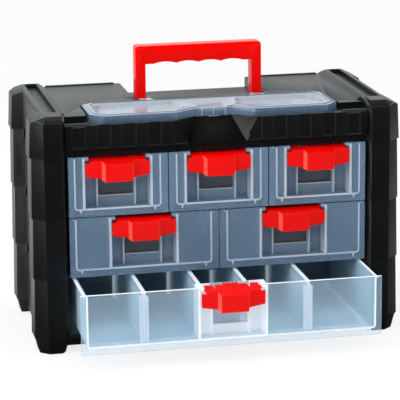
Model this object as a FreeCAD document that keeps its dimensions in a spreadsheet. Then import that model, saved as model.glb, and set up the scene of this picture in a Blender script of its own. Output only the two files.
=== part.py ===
import FreeCAD, Part
import itertools
import math
import os
import re

import Sketcher

# A drawer cabinet for small parts, built of stacked modules.
# Frame: origin under the middle of the case on the plane it stands on,
# X to the right, Y to the back, Z up. The drawer fronts face -Y. Millimetres.

SIZES = {
    # Case
    "case_width": 400,
    "case_depth": 200,
    "base_height": 17,
    "row_pitch": 66,
    "cap_height": 45,
    "wall": 2.4,
    "row_flare": 1.3,
    "cap_flare": 2.0,
    # Corner columns
    "column_reach": 35.5,
    "column_side": 38,
    "corner_x": 12,
    "corner_y": 11,
    "mouth_bevel": 3.5,
    "side_recess": 10,
    "side_bevel": 8,
    "rear_recess": 5,
    # Base
    "foot_taper": 4,
    "rail_lift": 8,
    "rail_width": 12,
    "middle_foot": 24,
    # Shelves and partitions
    "shelf": 2.8,
    "shelf_inset": 6.5,
    "partition": 2,
    "strike_depth": 2.5,
    "strike_drop": 1.2,
    # Side clips across the seams
    "clip_length": 12,
    "clip_height": 9,
    "clip_stand": 1.6,
    "clip_thickness": 3.4,
    # Cap
    "ridge_drop": 7,
    "ridge_bevel": 14,
    "ridge_front": 23,
    "ridge_rear": 12,
    "deck_drop": 5.5,
    "deck_inset": 40,
    "deck_slope": 7,
    "trough_inset": 17,
    "trough_width": 13,
    "trough_front": 75,
    "trough_rear": 88,
    "ledge_drop": 13.5,
    "ledge_back": 66,
    "fascia_inset": 3,
    "fascia_thickness": 6,
    "fascia_lift": 7.5,
    "fascia_lip": 2,
    "flute_pitch": 27.2,
    "flute_width": 13.4,
    "flute_depth": 2,
    "flute_floor": 1.6,
    "finger_top": 45.3,
    "finger_bottom": 31,
    "finger_block": 54,
    # Handle and its recess
    "recess_half": 73,
    "recess_drop": 17,
    "recess_front": 2,
    "grip_half": 70.5,
    "grip_leg": 11,
    "grip_thickness": 16,
    "grip_height": 60,
    "grip_bar": 20,
    "grip_round": 3.5,
    "scallop_width": 25,
    "scallop_radius": 40,
    "grip_floor_gap": 1,
    "grip_pin_radius": 3,
    "grip_pin_length": 22,
    "grip_boss": 15,
    "pin_fit": 0.06,
    # Lid
    "lid_half": 135.5,
    "lid_front": 87,
    "lid_back": 10,
    "lid_corner": 13,
    "lid_side_back": 25,
    "lid_back_half": 126,
    "lid_notch_out": 42,
    "lid_notch_in": 21,
    "lid_notch_y": 72,
    "lid_height": 9.7,
    "lid_wall": 1.8,
    "lid_skin": 2,
    "lid_seat": 0.3,
    "lid_well_gap": 2,
    "lid_back_gap": 3.5,
    "lug_half": 6.7,
    "lug_place": 62,
    "lug_gap": 0.4,
    "lug_radius": 2.6,
    "lug_y": 2.6,
    "lug_drop": 4.5,
    "lug_slot_back": 0.4,
    "lid_pin_radius": 1.25,
    "lid_pin_length": 20,
    "snap_half": 6,
    "snap_drop": 3,
    "snap_thickness": 1.6,
    "snap_gap": 0.6,
    # Parts tray
    "tray_flange": 3.5,
    "tray_rim": 1.6,
    "tray_body": 8,
    "tray_hole": 7.4,
    "tray_wall": 1.6,
    "tray_depth": 22,
    "tray_split": 47,
    # Drawers
    "face_inset": 3.5,
    "face_thickness": 2.2,
    "face_side_gap": 1.5,
    "face_gap": 2.5,
    "face_end_gap": 0.5,
    "box_inset": 6.5,
    "box_depth": 178,
    "box_lift": 7,
    "box_drop": 1.2,
    "box_wall": 1.6,
    "box_round": 4,
    "rim_width": 2.6,
    "rim_thickness": 1.6,
    "runner_inset": 6.5,
    "runner_width": 2,
    "runner_gap": 0.3,
    "bay_width": 69.5,
    "bay_depth": 20,
    "bay_rib_place": 19.5,
    "bay_rib_depth": 9,
    "bay_bar_height": 24,
    "bay_bar": 1.6,
    "open_distance": 66,
    # Dividers of the wide drawer
    "divider_one": 94.5,
    "divider_two": 32.5,
    "divider_three": 17.5,
    "divider_four": 82.5,
    "divider_width": 4.4,
    "divider_skin": 1.2,
    "divider_gap": 0.3,
    "groove_wall": 1.4,
    "groove_reach": 5,
    # Latches
    "latch_gap": 0.4,
    "latch_axis_inset": 7,
    "latch_axis_drop": 4.5,
    "latch_pin_radius": 2,
    "latch_pin_reach": 1.4,
    "wing_top": 60,
    "wing_bottom": 42.5,
    "wing_stand": 2.5,
    "wing_thickness": 2.2,
    "wing_taper": 3.5,
    "nose_half": 14.2,
    "nose_root": 18.2,
    "nose_stand": 10.5,
    "nose_top": 58.7,
    "nose_bottom": 39.5,
    "nose_root_bottom": 38,
    "nose_root_top": 63,
    "latch_top": 63.6,
    "latch_plate": 2,
    "latch_plate_half": 24,
    "latch_plate_back": 16,
    "latch_arm_back": 11,
    "hook_half": 8,
    "hook_rib": 1.2,
    "hook_count": 5,
    "hook_length": 5,
    "hook_rise": 0.9,
}

ROWS = ("bottom", "middle", "top")
PLACES = {"bottom": ("wide",), "middle": ("left", "right"), "top": ("left", "centre", "right")}
DIVIDERS = ("-divider_one", "-divider_two", "divider_three", "divider_four")

# How far the wedges that shape the cap's slopes reach past its sides.
OVERCUT = 5

# Drawing planes: the axis square to each, and the turn that lays a sketch on it.
SQUARE_TO = {"XY": "Z", "XZ": "Y", "YZ": "X"}
ALONG = {
    "XY": FreeCAD.Rotation(),
    "XZ": FreeCAD.Rotation(FreeCAD.Vector(1, 0, 0), 90),
    "YZ": FreeCAD.Rotation(FreeCAD.Vector(1, 1, 1), 120),
}

DOC = FreeCAD.newDocument("parts_cabinet")
SHEET = DOC.addObject("Spreadsheet::Sheet", "Sizes")


def fill_sheet():
    """Write each driving dimension and its alias into the sheet."""
    for row, (name, size) in enumerate(SIZES.items(), start=1):
        SHEET.set("A%d" % row, name)
        SHEET.set("B%d" % row, str(size))
        SHEET.setAlias("B%d" % row, name)
    DOC.recompute()


def bound(text):
    """Give an expression in which every size name points at its cell."""
    def point(match):
        word = match.group(0)
        return "Sizes." + word if word in SIZES else word
    return re.sub(r"[A-Za-z_][A-Za-z_0-9]*", point, str(text))


def worth(text):
    """Give the present value of an expression of sizes."""
    return float(SHEET.evalExpression(bound(text)))


def minus(text):
    """Give the expression with its sign turned."""
    return "-(%s)" % text


def turned_over(points):
    """Give the mirror image of an outline, in its own order round."""
    return [(minus(x), y) for x, y in reversed(points)]


def mirrored(points):
    """Give the points of a right half, followed by their mirror images."""
    return points + turned_over(points)


def on_side(side, low, high):
    """Give a pair of distances from the middle, on its right (1) or its left (-1)."""
    if side > 0:
        return (low, high)
    return (minus(high), minus(low))


class Piece:
    """A named part of the cabinet: a series of additions and cuts, then its place."""

    def __init__(self, label, x="0", y="0", z="0"):
        self.label = label
        self.place = (x, y, z)
        self.steps = []

    def take(self, kind, feature):
        self.steps.append((kind, feature))

    def finish(self):
        """Join the additions and subtract the cuts in their order, then name and place the result."""
        result = None
        for kind, group in itertools.groupby(self.steps, key=lambda step: step[0]):
            features = [feature for _, feature in group]
            if kind == "add":
                result = join(features if result is None else [result] + features)
            else:
                cut = DOC.addObject("Part::Cut", "cut")
                cut.Base = result
                cut.Tool = join(features)
                cut.Refine = True
                result = cut
        result.Label = self.label
        set_position(result, *self.place)
        return result


def join(features):
    if len(features) == 1:
        return features[0]
    fusion = DOC.addObject("Part::MultiFuse", "fusion")
    fusion.Shapes = features
    fusion.Refine = True
    return fusion


def set_position(feature, x, y, z):
    """Bind the position of a feature to three expressions."""
    for axis, text in zip("xyz", (x, y, z)):
        feature.setExpression(".Placement.Base." + axis, bound(text))


def block(x, y, z):
    """A box between pairs of coordinates."""
    box = DOC.addObject("Part::Box", "block")
    for side, (low, high) in zip(("Length", "Width", "Height"), (x, y, z)):
        box.setExpression(side, bound("(%s) - (%s)" % (high, low)))
    set_position(box, x[0], y[0], z[0])
    return box


def add_box(piece, x, y, z):
    piece.take("add", block(x, y, z))


def cut_box(piece, x, y, z):
    piece.take("cut", block(x, y, z))


def rod(radius, x, y, z):
    """A round bar along X from x[0] to x[1] at the given y and z."""
    bar = DOC.addObject("Part::Cylinder", "rod")
    bar.Placement = FreeCAD.Placement(FreeCAD.Vector(), ALONG["YZ"])
    bar.setExpression("Radius", bound(radius))
    bar.setExpression("Height", bound("(%s) - (%s)" % (x[1], x[0])))
    set_position(bar, x[0], y, z)
    return bar


def add_rod(piece, radius, x, y, z):
    piece.take("add", rod(radius, x, y, z))


def cut_rod(piece, radius, x, y, z):
    piece.take("cut", rod(radius, x, y, z))


def lift(plane, offset):
    """The position of a plane at an offset along the axis square to it."""
    return {"XY": ("0", "0", offset), "XZ": ("0", offset, "0"), "YZ": (offset, "0", "0")}[plane]


def outline(plane, points, offset):
    """A closed sketch through the points, every corner held by two bound distances."""
    sketch = DOC.addObject("Sketcher::SketchObject", "outline")
    sketch.Placement = FreeCAD.Placement(FreeCAD.Vector(), ALONG[plane])
    set_position(sketch, *lift(plane, offset))
    corners = [FreeCAD.Vector(worth(x), worth(y), 0) for x, y in points]
    count = len(corners)
    lines = [Part.LineSegment(corners[index - 1], corners[index]) for index in range(count)]
    sketch.addGeometry(lines, False)
    joins = []
    for index in range(count):
        joins.append(Sketcher.Constraint("Coincident", index, 2, (index + 1) % count, 1))
    places = []
    for index, corner in enumerate(corners):
        places.append(Sketcher.Constraint("DistanceX", -1, 1, index, 2, corner.x))
        places.append(Sketcher.Constraint("DistanceY", -1, 1, index, 2, corner.y))
    sketch.addConstraint(joins + places)
    for index, (x, y) in enumerate(points):
        sketch.setExpression("Constraints[%d]" % (count + 2 * index), bound(x))
        sketch.setExpression("Constraints[%d]" % (count + 2 * index + 1), bound(y))
    return sketch


def extrusion(sketch, plane, start, end):
    """The sketch drawn out from one place to another on the axis square to its plane."""
    solid = DOC.addObject("Part::Extrusion", "prism")
    solid.Base = sketch
    solid.DirMode = "Custom"
    solid.Dir = FreeCAD.Vector(*[float(axis == SQUARE_TO[plane]) for axis in "XYZ"])
    solid.Solid = True
    solid.setExpression("LengthFwd", bound("(%s) - (%s)" % (end, start)))
    return solid


def prism(plane, points, start, end):
    return extrusion(outline(plane, points, start), plane, start, end)


def add_prism(piece, plane, points, start, end):
    piece.take("add", prism(plane, points, start, end))


def cut_prism(piece, plane, points, start, end):
    piece.take("cut", prism(plane, points, start, end))


def loft(plane, first, first_place, last, last_place):
    """A ruled solid between two outlines with as many corners each."""
    solid = DOC.addObject("Part::Loft", "loft")
    solid.Sections = [outline(plane, first, first_place), outline(plane, last, last_place)]
    solid.Solid = True
    solid.Ruled = True
    return solid


def add_loft(piece, plane, first, first_place, last, last_place):
    piece.take("add", loft(plane, first, first_place, last, last_place))


def cut_loft(piece, plane, first, first_place, last, last_place):
    piece.take("cut", loft(plane, first, first_place, last, last_place))


def rounded(x, z, radius, start):
    """Points of a quarter circle inside the corner at x and z; start is its first angle."""
    turns = {0: (-1, -1), 90: (1, -1), 180: (1, 1), 270: (-1, 1)}[start]
    points = []
    for step in range(4):
        angle = math.radians(start + 30 * step)
        points.append((
            "%s + %s * (%g + (%.6f))" % (x, radius, turns[0], math.cos(angle)),
            "%s + %s * (%g + (%.6f))" % (z, radius, turns[1], math.sin(angle)),
        ))
    return points


# Places that several pieces share.
HALF_WIDTH = "case_width / 2"
HALF_DEPTH = "case_depth / 2"
MOUTH_HALF = "(case_width / 2 - column_reach)"
MOUTH_Y = "(shelf_inset - case_depth / 2)"
BACK_Y = "(case_depth / 2 - rear_recess)"
CAP_Z = "(base_height + 3 * row_pitch)"
DECK_Z = "(cap_height - deck_drop)"
LEDGE_Z = "(cap_height - ledge_drop)"
FASCIA_Y = "(fascia_inset - case_depth / 2)"
RECESS_Z = "(cap_height - recess_drop)"
GRIP_Y = "(recess_front + grip_floor_gap + grip_thickness / 2)"
GRIP_Z = "(cap_height - recess_drop + grip_floor_gap + grip_thickness / 2)"
LUG_Y = "(0 - lug_y)"
LUG_Z = "(cap_height - lug_drop - lug_radius)"
FACE_Y = "(face_inset - case_depth / 2)"
FACE_HALF_SPAN = "(case_width / 2 - column_reach - face_side_gap)"


def row_base(row):
    return "(base_height + %d * row_pitch)" % ROWS.index(row)


def face_width(row):
    """The width of one drawer front in a row."""
    count = len(PLACES[row])
    return "((2 * %s - %d * face_gap) / %d)" % (FACE_HALF_SPAN, count - 1, count)


def drawer_x(row, index):
    """The middle of a drawer, counted from the left."""
    steps = index - (len(PLACES[row]) - 1) / 2
    return "(%g * (%s + face_gap))" % (steps, face_width(row))


def case_outline(flare):
    """The case in plan: four bevelled columns, recessed sides and a recessed back."""
    inner_side = "(%s - column_side - side_bevel)" % HALF_DEPTH
    outer_side = "(%s - column_side)" % HALF_DEPTH
    corner = "(%s - corner_y)" % HALF_DEPTH
    right = [
        (MOUTH_HALF, MOUTH_Y),
        (MOUTH_HALF + " + mouth_bevel", "-(%s + %s)" % (HALF_DEPTH, flare)),
        (HALF_WIDTH + " - corner_x", "-(%s + %s)" % (HALF_DEPTH, flare)),
        ("%s + %s" % (HALF_WIDTH, flare), minus(corner)),
        ("%s + %s" % (HALF_WIDTH, flare), minus(outer_side)),
        (HALF_WIDTH + " - side_recess", minus(inner_side)),
        (HALF_WIDTH + " - side_recess", inner_side),
        ("%s + %s" % (HALF_WIDTH, flare), outer_side),
        ("%s + %s" % (HALF_WIDTH, flare), corner),
        (HALF_WIDTH + " - corner_x", "%s + %s" % (HALF_DEPTH, flare)),
        (MOUTH_HALF + " + mouth_bevel", "%s + %s" % (HALF_DEPTH, flare)),
        (MOUTH_HALF, BACK_Y),
    ]
    return mirrored(right)


def side_cavity(side):
    """The hollow of one side wall in plan; side is 1 for the right and -1 for the left."""
    front = "(%s - wall)" % HALF_DEPTH
    outer = "(%s - wall)" % HALF_WIDTH
    column = "(%s - column_side + 0.2 * wall)" % HALF_DEPTH
    waist = "(%s - column_side - side_bevel - 0.2 * wall)" % HALF_DEPTH
    right = [
        (MOUTH_HALF + " + wall", minus(front)),
        (HALF_WIDTH + " - corner_x - 0.4 * wall", minus(front)),
        (outer, "-(%s - corner_y - 0.4 * wall)" % HALF_DEPTH),
        (outer, minus(column)),
        (HALF_WIDTH + " - side_recess - wall", minus(waist)),
        (HALF_WIDTH + " - side_recess - wall", waist),
        (outer, column),
        (outer, "%s - corner_y - 0.4 * wall" % HALF_DEPTH),
        (HALF_WIDTH + " - corner_x - 0.4 * wall", front),
        (MOUTH_HALF + " + wall", front),
    ]
    return right if side > 0 else turned_over(right)


def strike_ribs(piece, row):
    """Small ribs under a shelf, behind which the latches of the row below catch."""
    for index in range(len(PLACES[row])):
        middle = drawer_x(row, index)
        add_box(piece,
                ("%s - hook_half - 3" % middle, "%s + hook_half + 3" % middle),
                (MOUTH_Y, MOUTH_Y + " + strike_depth"),
                ("0 - strike_drop", "shelf"))


def clip_slots(piece, heights):
    """Shallow seats in the side walls for the clips across a seam."""
    for side in (-1, 1):
        for end in (-1, 1):
            middle = "%d * (%s - column_side - side_bevel - clip_length)" % (end, HALF_DEPTH)
            inner = HALF_WIDTH + " - side_recess - (clip_thickness - clip_stand)"
            x = on_side(side, inner, HALF_WIDTH + " - side_recess + 1")
            y = ("%s - clip_length / 2" % middle, "%s + clip_length / 2" % middle)
            for low, high in heights:
                cut_box(piece, x, y, (low, high))


def foot_outline(side, end, inset):
    """One foot in plan, drawn in from the column's outline by the inset."""
    points = [
        ("%s + %s" % (MOUTH_HALF, inset), "%s - shelf_inset - %s" % (HALF_DEPTH, inset)),
        ("%s + mouth_bevel + %s" % (MOUTH_HALF, inset), "%s - %s" % (HALF_DEPTH, inset)),
        ("%s - corner_x - 0.4 * %s" % (HALF_WIDTH, inset), "%s - %s" % (HALF_DEPTH, inset)),
        ("%s - %s" % (HALF_WIDTH, inset), "%s - corner_y - 0.4 * %s" % (HALF_DEPTH, inset)),
        ("%s - %s" % (HALF_WIDTH, inset), "%s - column_side + %s" % (HALF_DEPTH, inset)),
        ("%s + %s" % (MOUTH_HALF, inset), "%s - column_side + %s" % (HALF_DEPTH, inset)),
    ]
    turned = [("%d * (%s)" % (side, x), "%d * (%s)" % (end, y)) for x, y in points]
    if side * end < 0:
        turned.reverse()
    return turned


def make_base():
    piece = Piece("base_frame")
    rail_x = HALF_WIDTH + " - side_recess"
    rail_y = HALF_DEPTH + " - shelf_inset"
    add_box(piece, (minus(rail_x), rail_x), (minus(rail_y), rail_y), ("rail_lift", "base_height"))
    cut_box(piece, ("-(%s - rail_width)" % rail_x, rail_x + " - rail_width"),
            ("-(%s - rail_width)" % rail_y, rail_y + " - rail_width"), ("rail_lift - 1", "base_height + 1"))
    rail = ("-(rail_width / 2)", "rail_width / 2")
    add_box(piece, (minus(rail_x), rail_x), rail, ("rail_lift", "base_height"))
    foot = ("-(middle_foot / 2)", "middle_foot / 2")
    add_box(piece, foot, foot, ("0", "base_height"))
    for side in (-1, 1):
        for end in (-1, 1):
            add_loft(piece, "XY", foot_outline(side, end, "foot_taper"), "0",
                     foot_outline(side, end, "0"), "base_height")
    for side in (-1, 1):
        for end in (-1, 1):
            hollow = foot_outline(side, end, "(foot_taper + wall)")
            cut_prism(piece, "XY", hollow, "wall", "base_height + 1")
    return piece.finish()


def make_row(row):
    """A storey of the case: side walls, back, shelf and the partitions between drawers."""
    piece = Piece("row_module_" + row, z=row_base(row))
    add_loft(piece, "XY", case_outline("row_flare"), "0", case_outline("0"), "row_pitch")
    count = len(PLACES[row])
    for index in range(count):
        middle = drawer_x(row, index)
        half = "(%s + face_gap - partition) / 2" % face_width(row)
        left = minus(MOUTH_HALF) if index == 0 else "%s - %s" % (middle, half)
        right = MOUTH_HALF if index == count - 1 else "%s + %s" % (middle, half)
        cut_box(piece, (left, right), (MOUTH_Y + " - 10", BACK_Y + " - wall"), ("shelf", "row_pitch + 1"))
    for side in (-1, 1):
        cut_prism(piece, "XY", side_cavity(side), "-1", "row_pitch + 1")
    if row != "bottom":
        strike_ribs(piece, ROWS[ROWS.index(row) - 1])
        clip_slots(piece, [("0 - 1", "clip_height / 2"), ("row_pitch - clip_height / 2", "row_pitch + 1")])
    else:
        clip_slots(piece, [("row_pitch - clip_height / 2", "row_pitch + 1")])
    return piece.finish()


def lid_outline(grow):
    """The lid in plan: a long octagon with a notch in its front edge, grown all round."""
    right = [
        ("lid_notch_in - 0.31 * (%s)" % grow, "-(lid_notch_y + (%s))" % grow),
        ("lid_notch_out - 0.31 * (%s)" % grow, "-(lid_front + (%s))" % grow),
        ("lid_half - lid_corner + 0.41 * (%s)" % grow, "-(lid_front + (%s))" % grow),
        ("lid_half + (%s)" % grow, "-(lid_front - lid_corner + 0.41 * (%s))" % grow),
        ("lid_half + (%s)" % grow, "-(lid_side_back - 0.3 * (%s))" % grow),
        ("lid_back_half + 0.57 * (%s)" % grow, "-(lid_back - (%s))" % grow),
    ]
    return mirrored(right)


def slope_wedge(edge, run):
    """The section of what is trimmed off the cap's top where it slopes down to an edge."""
    return [
        ("%s - %s" % (edge, run), "cap_height"),
        ("%s + %g" % (edge, OVERCUT), "cap_height - ridge_drop * (1 + %g / %s)" % (OVERCUT, run)),
        ("%s + %g" % (edge, OVERCUT), "cap_height + 1"),
        ("%s - %s" % (edge, run), "cap_height + 1"),
    ]


def cap_surface(piece):
    """The ridges, troughs, deck, ledge and recesses on top of the case."""
    ridge = slope_wedge(HALF_WIDTH, "ridge_bevel")
    for wedge in (ridge, turned_over(ridge)):
        cut_prism(piece, "XZ", wedge, "-(%s + 10)" % HALF_DEPTH, HALF_DEPTH + " + 10")
    for wedge in (turned_over(slope_wedge(HALF_DEPTH, "ridge_front")), slope_wedge(HALF_DEPTH, "ridge_rear")):
        cut_prism(piece, "YZ", wedge, "-(%s + 10)" % HALF_WIDTH, HALF_WIDTH + " + 10")
    deck = [
        (HALF_WIDTH + " - deck_inset", DECK_Z),
        (HALF_WIDTH + " - deck_inset + deck_slope", "cap_height"),
        (HALF_WIDTH + " - deck_inset + deck_slope", "cap_height + 1"),
    ]
    cut_prism(piece, "XZ", mirrored(deck), "-(%s + 10)" % HALF_DEPTH, HALF_DEPTH + " + 10")
    cut_box(piece, (minus(MOUTH_HALF), MOUTH_HALF), ("-(%s + 10)" % HALF_DEPTH, "0 - ledge_back"),
            (LEDGE_Z, "cap_height + 1"))
    for low in (HALF_WIDTH + " - trough_inset - trough_width", "trough_inset - " + HALF_WIDTH):
        cut_box(piece, (low, low + " + trough_width"), ("0 - trough_front", "trough_rear"),
                (DECK_Z, "cap_height + 1"))
    cut_box(piece, ("0 - recess_half", "recess_half"), ("recess_front", HALF_DEPTH + " + 10"),
            (RECESS_Z, "cap_height + 1"))
    well = lid_outline("lid_well_gap")
    cut_prism(piece, "XY", well, LEDGE_Z, "cap_height + 1")
    cut_box(piece, ("0 - lid_back_half", "lid_back_half"),
            ("0 - lid_back - 1", "lid_back_gap - lid_back"), (LEDGE_Z, "cap_height + 1"))


def cap_fascia(piece):
    """The fluted strip over the top row and the finger recess under the lid's notch."""
    top = LEDGE_Z + " + fascia_lip"
    add_box(piece, (minus(MOUTH_HALF), MOUTH_HALF), (FASCIA_Y, FASCIA_Y + " + fascia_thickness"),
            ("fascia_lift", top))
    flutes = int((worth(MOUTH_HALF) + worth("flute_width") / 2) // worth("flute_pitch"))
    for index in range(-flutes, flutes):
        middle = "%g * flute_pitch" % (index + 0.5)
        cut_box(piece, ("%s - flute_width / 2" % middle, "%s + flute_width / 2" % middle),
                (FASCIA_Y + " - 1", FASCIA_Y + " + flute_depth"),
                ("fascia_lift + flute_floor", top + " + 1"))
    front = [("finger_bottom", "fascia_lift - 0.2"), ("finger_top", top + " + 0.2")]
    back = [("lid_notch_in - 1.5", LEDGE_Z), ("lid_notch_in - 0.5", top + " + 0.2")]
    cut_loft(piece, "XZ", mirrored(front), FASCIA_Y + " - 0.2", mirrored(back), "0 - lid_notch_y + 1")


def cap_hollow(piece):
    """The underside of the cap, open to the top row, with a skin left under every surface."""
    back_wall = BACK_Y + " - wall"
    front_wall = FASCIA_Y + " + fascia_thickness + wall"
    strip_front = "recess_front - wall - lid_back"
    inner = MOUTH_HALF + " - wall"
    for side in (-1, 1):
        x = on_side(side, "finger_block", inner)
        cut_box(piece, x, (front_wall, "0 - lid_notch_y + 8"), ("-1", LEDGE_Z + " - wall"))
    cut_box(piece, (minus(inner), inner), ("0 - lid_notch_y + 8 - 0.01", strip_front),
            ("-1", LEDGE_Z + " - wall"))
    for side in (-1, 1):
        x = on_side(side, "recess_half + grip_boss", inner)
        cut_box(piece, x, (strip_front + " - 0.01", back_wall), ("-1", DECK_Z + " - wall"))
        x = on_side(side, "recess_half + wall", "recess_half + grip_boss + 0.01")
        cut_box(piece, x, (GRIP_Y + " + grip_thickness", back_wall), ("-1", DECK_Z + " - wall"))
    cut_box(piece, ("-(recess_half + grip_boss + 0.01)", "recess_half + grip_boss + 0.01"),
            (strip_front + " - 0.01", back_wall), ("-1", RECESS_Z + " - wall"))
    for side in (-1, 1):
        cut_prism(piece, "XY", side_cavity(side), "-1", DECK_Z + " - 2 * wall")


def make_cap():
    """The top of the case, with the tray well, the handle recess and the side troughs."""
    piece = Piece("top_module", z=CAP_Z)
    add_loft(piece, "XY", case_outline("cap_flare"), "0", case_outline("0"), "cap_height")
    cap_surface(piece)
    cap_fascia(piece)
    cap_hollow(piece)
    cut_prism(piece, "XY", lid_outline("0 - tray_hole"), "-1", "cap_height + 1")
    for side in (-1, 1):
        middle = "%d * lug_place" % side
        cut_box(piece, ("%s - lug_half - lug_gap" % middle, "%s + lug_half + lug_gap" % middle),
                ("lid_back_gap - lid_back - 1", LUG_Y + " + lug_radius + lug_slot_back"),
                (LUG_Z + " - lug_radius - lug_gap", "cap_height + 1"))
        cut_rod(piece, "lid_pin_radius + pin_fit",
                ("%s - lid_pin_length / 2" % middle, "%s + lid_pin_length / 2" % middle), LUG_Y, LUG_Z)
        x = on_side(side, "(grip_half - grip_leg)", "(grip_half - grip_leg + grip_pin_length)")
        cut_rod(piece, "grip_pin_radius + pin_fit", x, GRIP_Y, GRIP_Z)
    strike_ribs(piece, "top")
    clip_slots(piece, [("0 - 1", "clip_height / 2")])
    cut_box(piece, ("-(snap_half + snap_gap)", "snap_half + snap_gap"),
            ("-(lid_notch_y + lid_well_gap)", "snap_thickness + snap_gap - lid_notch_y"),
            (LEDGE_Z + " + lid_seat - snap_drop - snap_gap", LEDGE_Z + " + 1"))
    return piece.finish()


def make_tray():
    """The insert of small compartments under the lid, hung by its flange."""
    piece = Piece("parts_tray", z=CAP_Z)
    add_prism(piece, "XY", lid_outline("0 - tray_flange"), LEDGE_Z, LEDGE_Z + " + tray_rim")
    add_prism(piece, "XY", lid_outline("0 - tray_body"), LEDGE_Z + " - tray_depth", LEDGE_Z + " + tray_rim")
    floor = LEDGE_Z + " - tray_depth + tray_wall"
    top = LEDGE_Z + " + tray_rim + 1"
    front = "0 - lid_front + tray_body + tray_wall"
    back = "0 - lid_back - tray_body - tray_wall"
    near = "lid_notch_out + 4"
    inner = "lid_notch_in + 4"
    far = "lid_half - lid_corner - tray_body + 3"
    rows = (
        (front, "0 - tray_split - tray_wall / 2", near),
        ("0 - tray_split + tray_wall / 2", back, inner),
    )
    for low, high, start in rows:
        middle = "((%s) + (%s)) / 2" % (start, far)
        for left, right in ((start, middle + " - tray_wall / 2"), (middle + " + tray_wall / 2", far)):
            cut_box(piece, (left, right), (low, high), (floor, top))
            cut_box(piece, (minus(right), minus(left)), (low, high), (floor, top))
    cut_box(piece, ("-(%s - tray_wall)" % inner, inner + " - tray_wall"),
            ("0 - lid_notch_y + tray_body + tray_wall", back), (floor, top))
    return piece.finish()


def make_lid():
    """The clear lid: a shallow shell with lugs at the back and a snap tab in the notch."""
    piece = Piece("tray_lid", z="%s + %s + lid_seat" % (CAP_Z, LEDGE_Z))
    add_prism(piece, "XY", lid_outline("0"), "0", "lid_height")
    cut_prism(piece, "XY", lid_outline("0 - lid_wall"), "-1", "lid_height - lid_skin")
    lug_z = "%s - %s - lid_seat" % (LUG_Z, LEDGE_Z)
    for side in (-1, 1):
        middle = "%d * lug_place" % side
        x = ("%s - lug_half" % middle, "%s + lug_half" % middle)
        add_box(piece, x, ("0 - lid_back - lid_wall", LUG_Y), (lug_z, lug_z + " + lug_radius"))
        add_rod(piece, "lug_radius", x, LUG_Y, lug_z)
        cut_rod(piece, "lid_pin_radius + pin_fit", x, LUG_Y, lug_z)
    add_box(piece, ("0 - snap_half", "snap_half"),
            ("0 - lid_notch_y", "0 - lid_notch_y + snap_thickness"), ("0 - snap_drop", "2"))
    return piece.finish()


def make_lid_pins():
    piece = Piece("lid_hinge_pins", z=CAP_Z)
    for side in (-1, 1):
        middle = "%d * lug_place" % side
        add_rod(piece, "lid_pin_radius", ("%s - lid_pin_length / 2 + 0.2" % middle,
                                         "%s + lid_pin_length / 2 - 0.2" % middle), LUG_Y, LUG_Z)
    return piece.finish()


def cut_scallop(piece, middle, level, low, high):
    """A shallow arc cut upward into the underside of the handle's bar."""
    sketch = DOC.addObject("Sketcher::SketchObject", "scallop")
    sketch.Placement = FreeCAD.Placement(FreeCAD.Vector(), ALONG["XZ"])
    set_position(sketch, "0", low + " - 1", "0")
    half = worth("scallop_width / 2")
    radius = worth("scallop_radius")
    centre = FreeCAD.Vector(worth(middle), worth(level) - math.sqrt(radius ** 2 - half ** 2), 0)
    left = FreeCAD.Vector(centre.x - half, worth(level), 0)
    right = FreeCAD.Vector(centre.x + half, worth(level), 0)
    spread = math.asin(half / radius)
    circle = Part.Circle(centre, FreeCAD.Vector(0, 0, 1), radius)
    arc = Part.ArcOfCircle(circle, math.pi / 2 - spread, math.pi / 2 + spread)
    sketch.addGeometry([arc, Part.LineSegment(left, right)], False)
    sketch.addConstraint([
        Sketcher.Constraint("Coincident", 0, 2, 1, 1),
        Sketcher.Constraint("Coincident", 0, 1, 1, 2),
        Sketcher.Constraint("DistanceX", -1, 1, 1, 1, left.x),
        Sketcher.Constraint("DistanceY", -1, 1, 1, 1, left.y),
        Sketcher.Constraint("DistanceX", -1, 1, 1, 2, right.x),
        Sketcher.Constraint("DistanceY", -1, 1, 1, 2, right.y),
        Sketcher.Constraint("Radius", 0, radius),
    ])
    sketch.setExpression("Constraints[2]", bound(middle + " - scallop_width / 2"))
    sketch.setExpression("Constraints[3]", bound(level))
    sketch.setExpression("Constraints[4]", bound(middle + " + scallop_width / 2"))
    sketch.setExpression("Constraints[5]", bound(level))
    sketch.setExpression("Constraints[6]", bound("scallop_radius"))
    piece.take("cut", extrusion(sketch, "XZ", low + " - 1", high + " + 1"))


def make_grip():
    """The carrying handle, upright: two legs and a bar with four finger scallops."""
    piece = Piece("carry_handle", z="%s + %s" % (CAP_Z, GRIP_Z))
    low = "%s - grip_thickness / 2" % GRIP_Y
    high = "%s + grip_thickness / 2" % GRIP_Y
    inner = "(grip_half - grip_leg)"
    right = [
        (inner, "grip_height - grip_bar"),
        (inner, "0"),
        ("grip_half", "0"),
    ]
    right += rounded("grip_half", "grip_height", "grip_round", 0)
    add_prism(piece, "XZ", mirrored(right), low, high)
    for side in (-1, 1):
        add_rod(piece, "grip_thickness / 2", on_side(side, inner, "grip_half"), GRIP_Y, "0")
    for index in range(4):
        cut_scallop(piece, "%g * scallop_width" % (index - 1.5), "grip_height - grip_bar", low, high)
    for side in (-1, 1):
        x = on_side(side, inner + " - 1", "grip_half + 1")
        cut_rod(piece, "grip_pin_radius + pin_fit", x, GRIP_Y, "0")
    return piece.finish()


def make_grip_pins():
    piece = Piece("handle_pivot_pins", z="%s + %s" % (CAP_Z, GRIP_Z))
    for side in (-1, 1):
        x = on_side(side, "grip_half - grip_leg + 0.3", "grip_half - grip_leg + grip_pin_length - 0.3")
        add_rod(piece, "grip_pin_radius", x, GRIP_Y, "0")
    return piece.finish()


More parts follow.
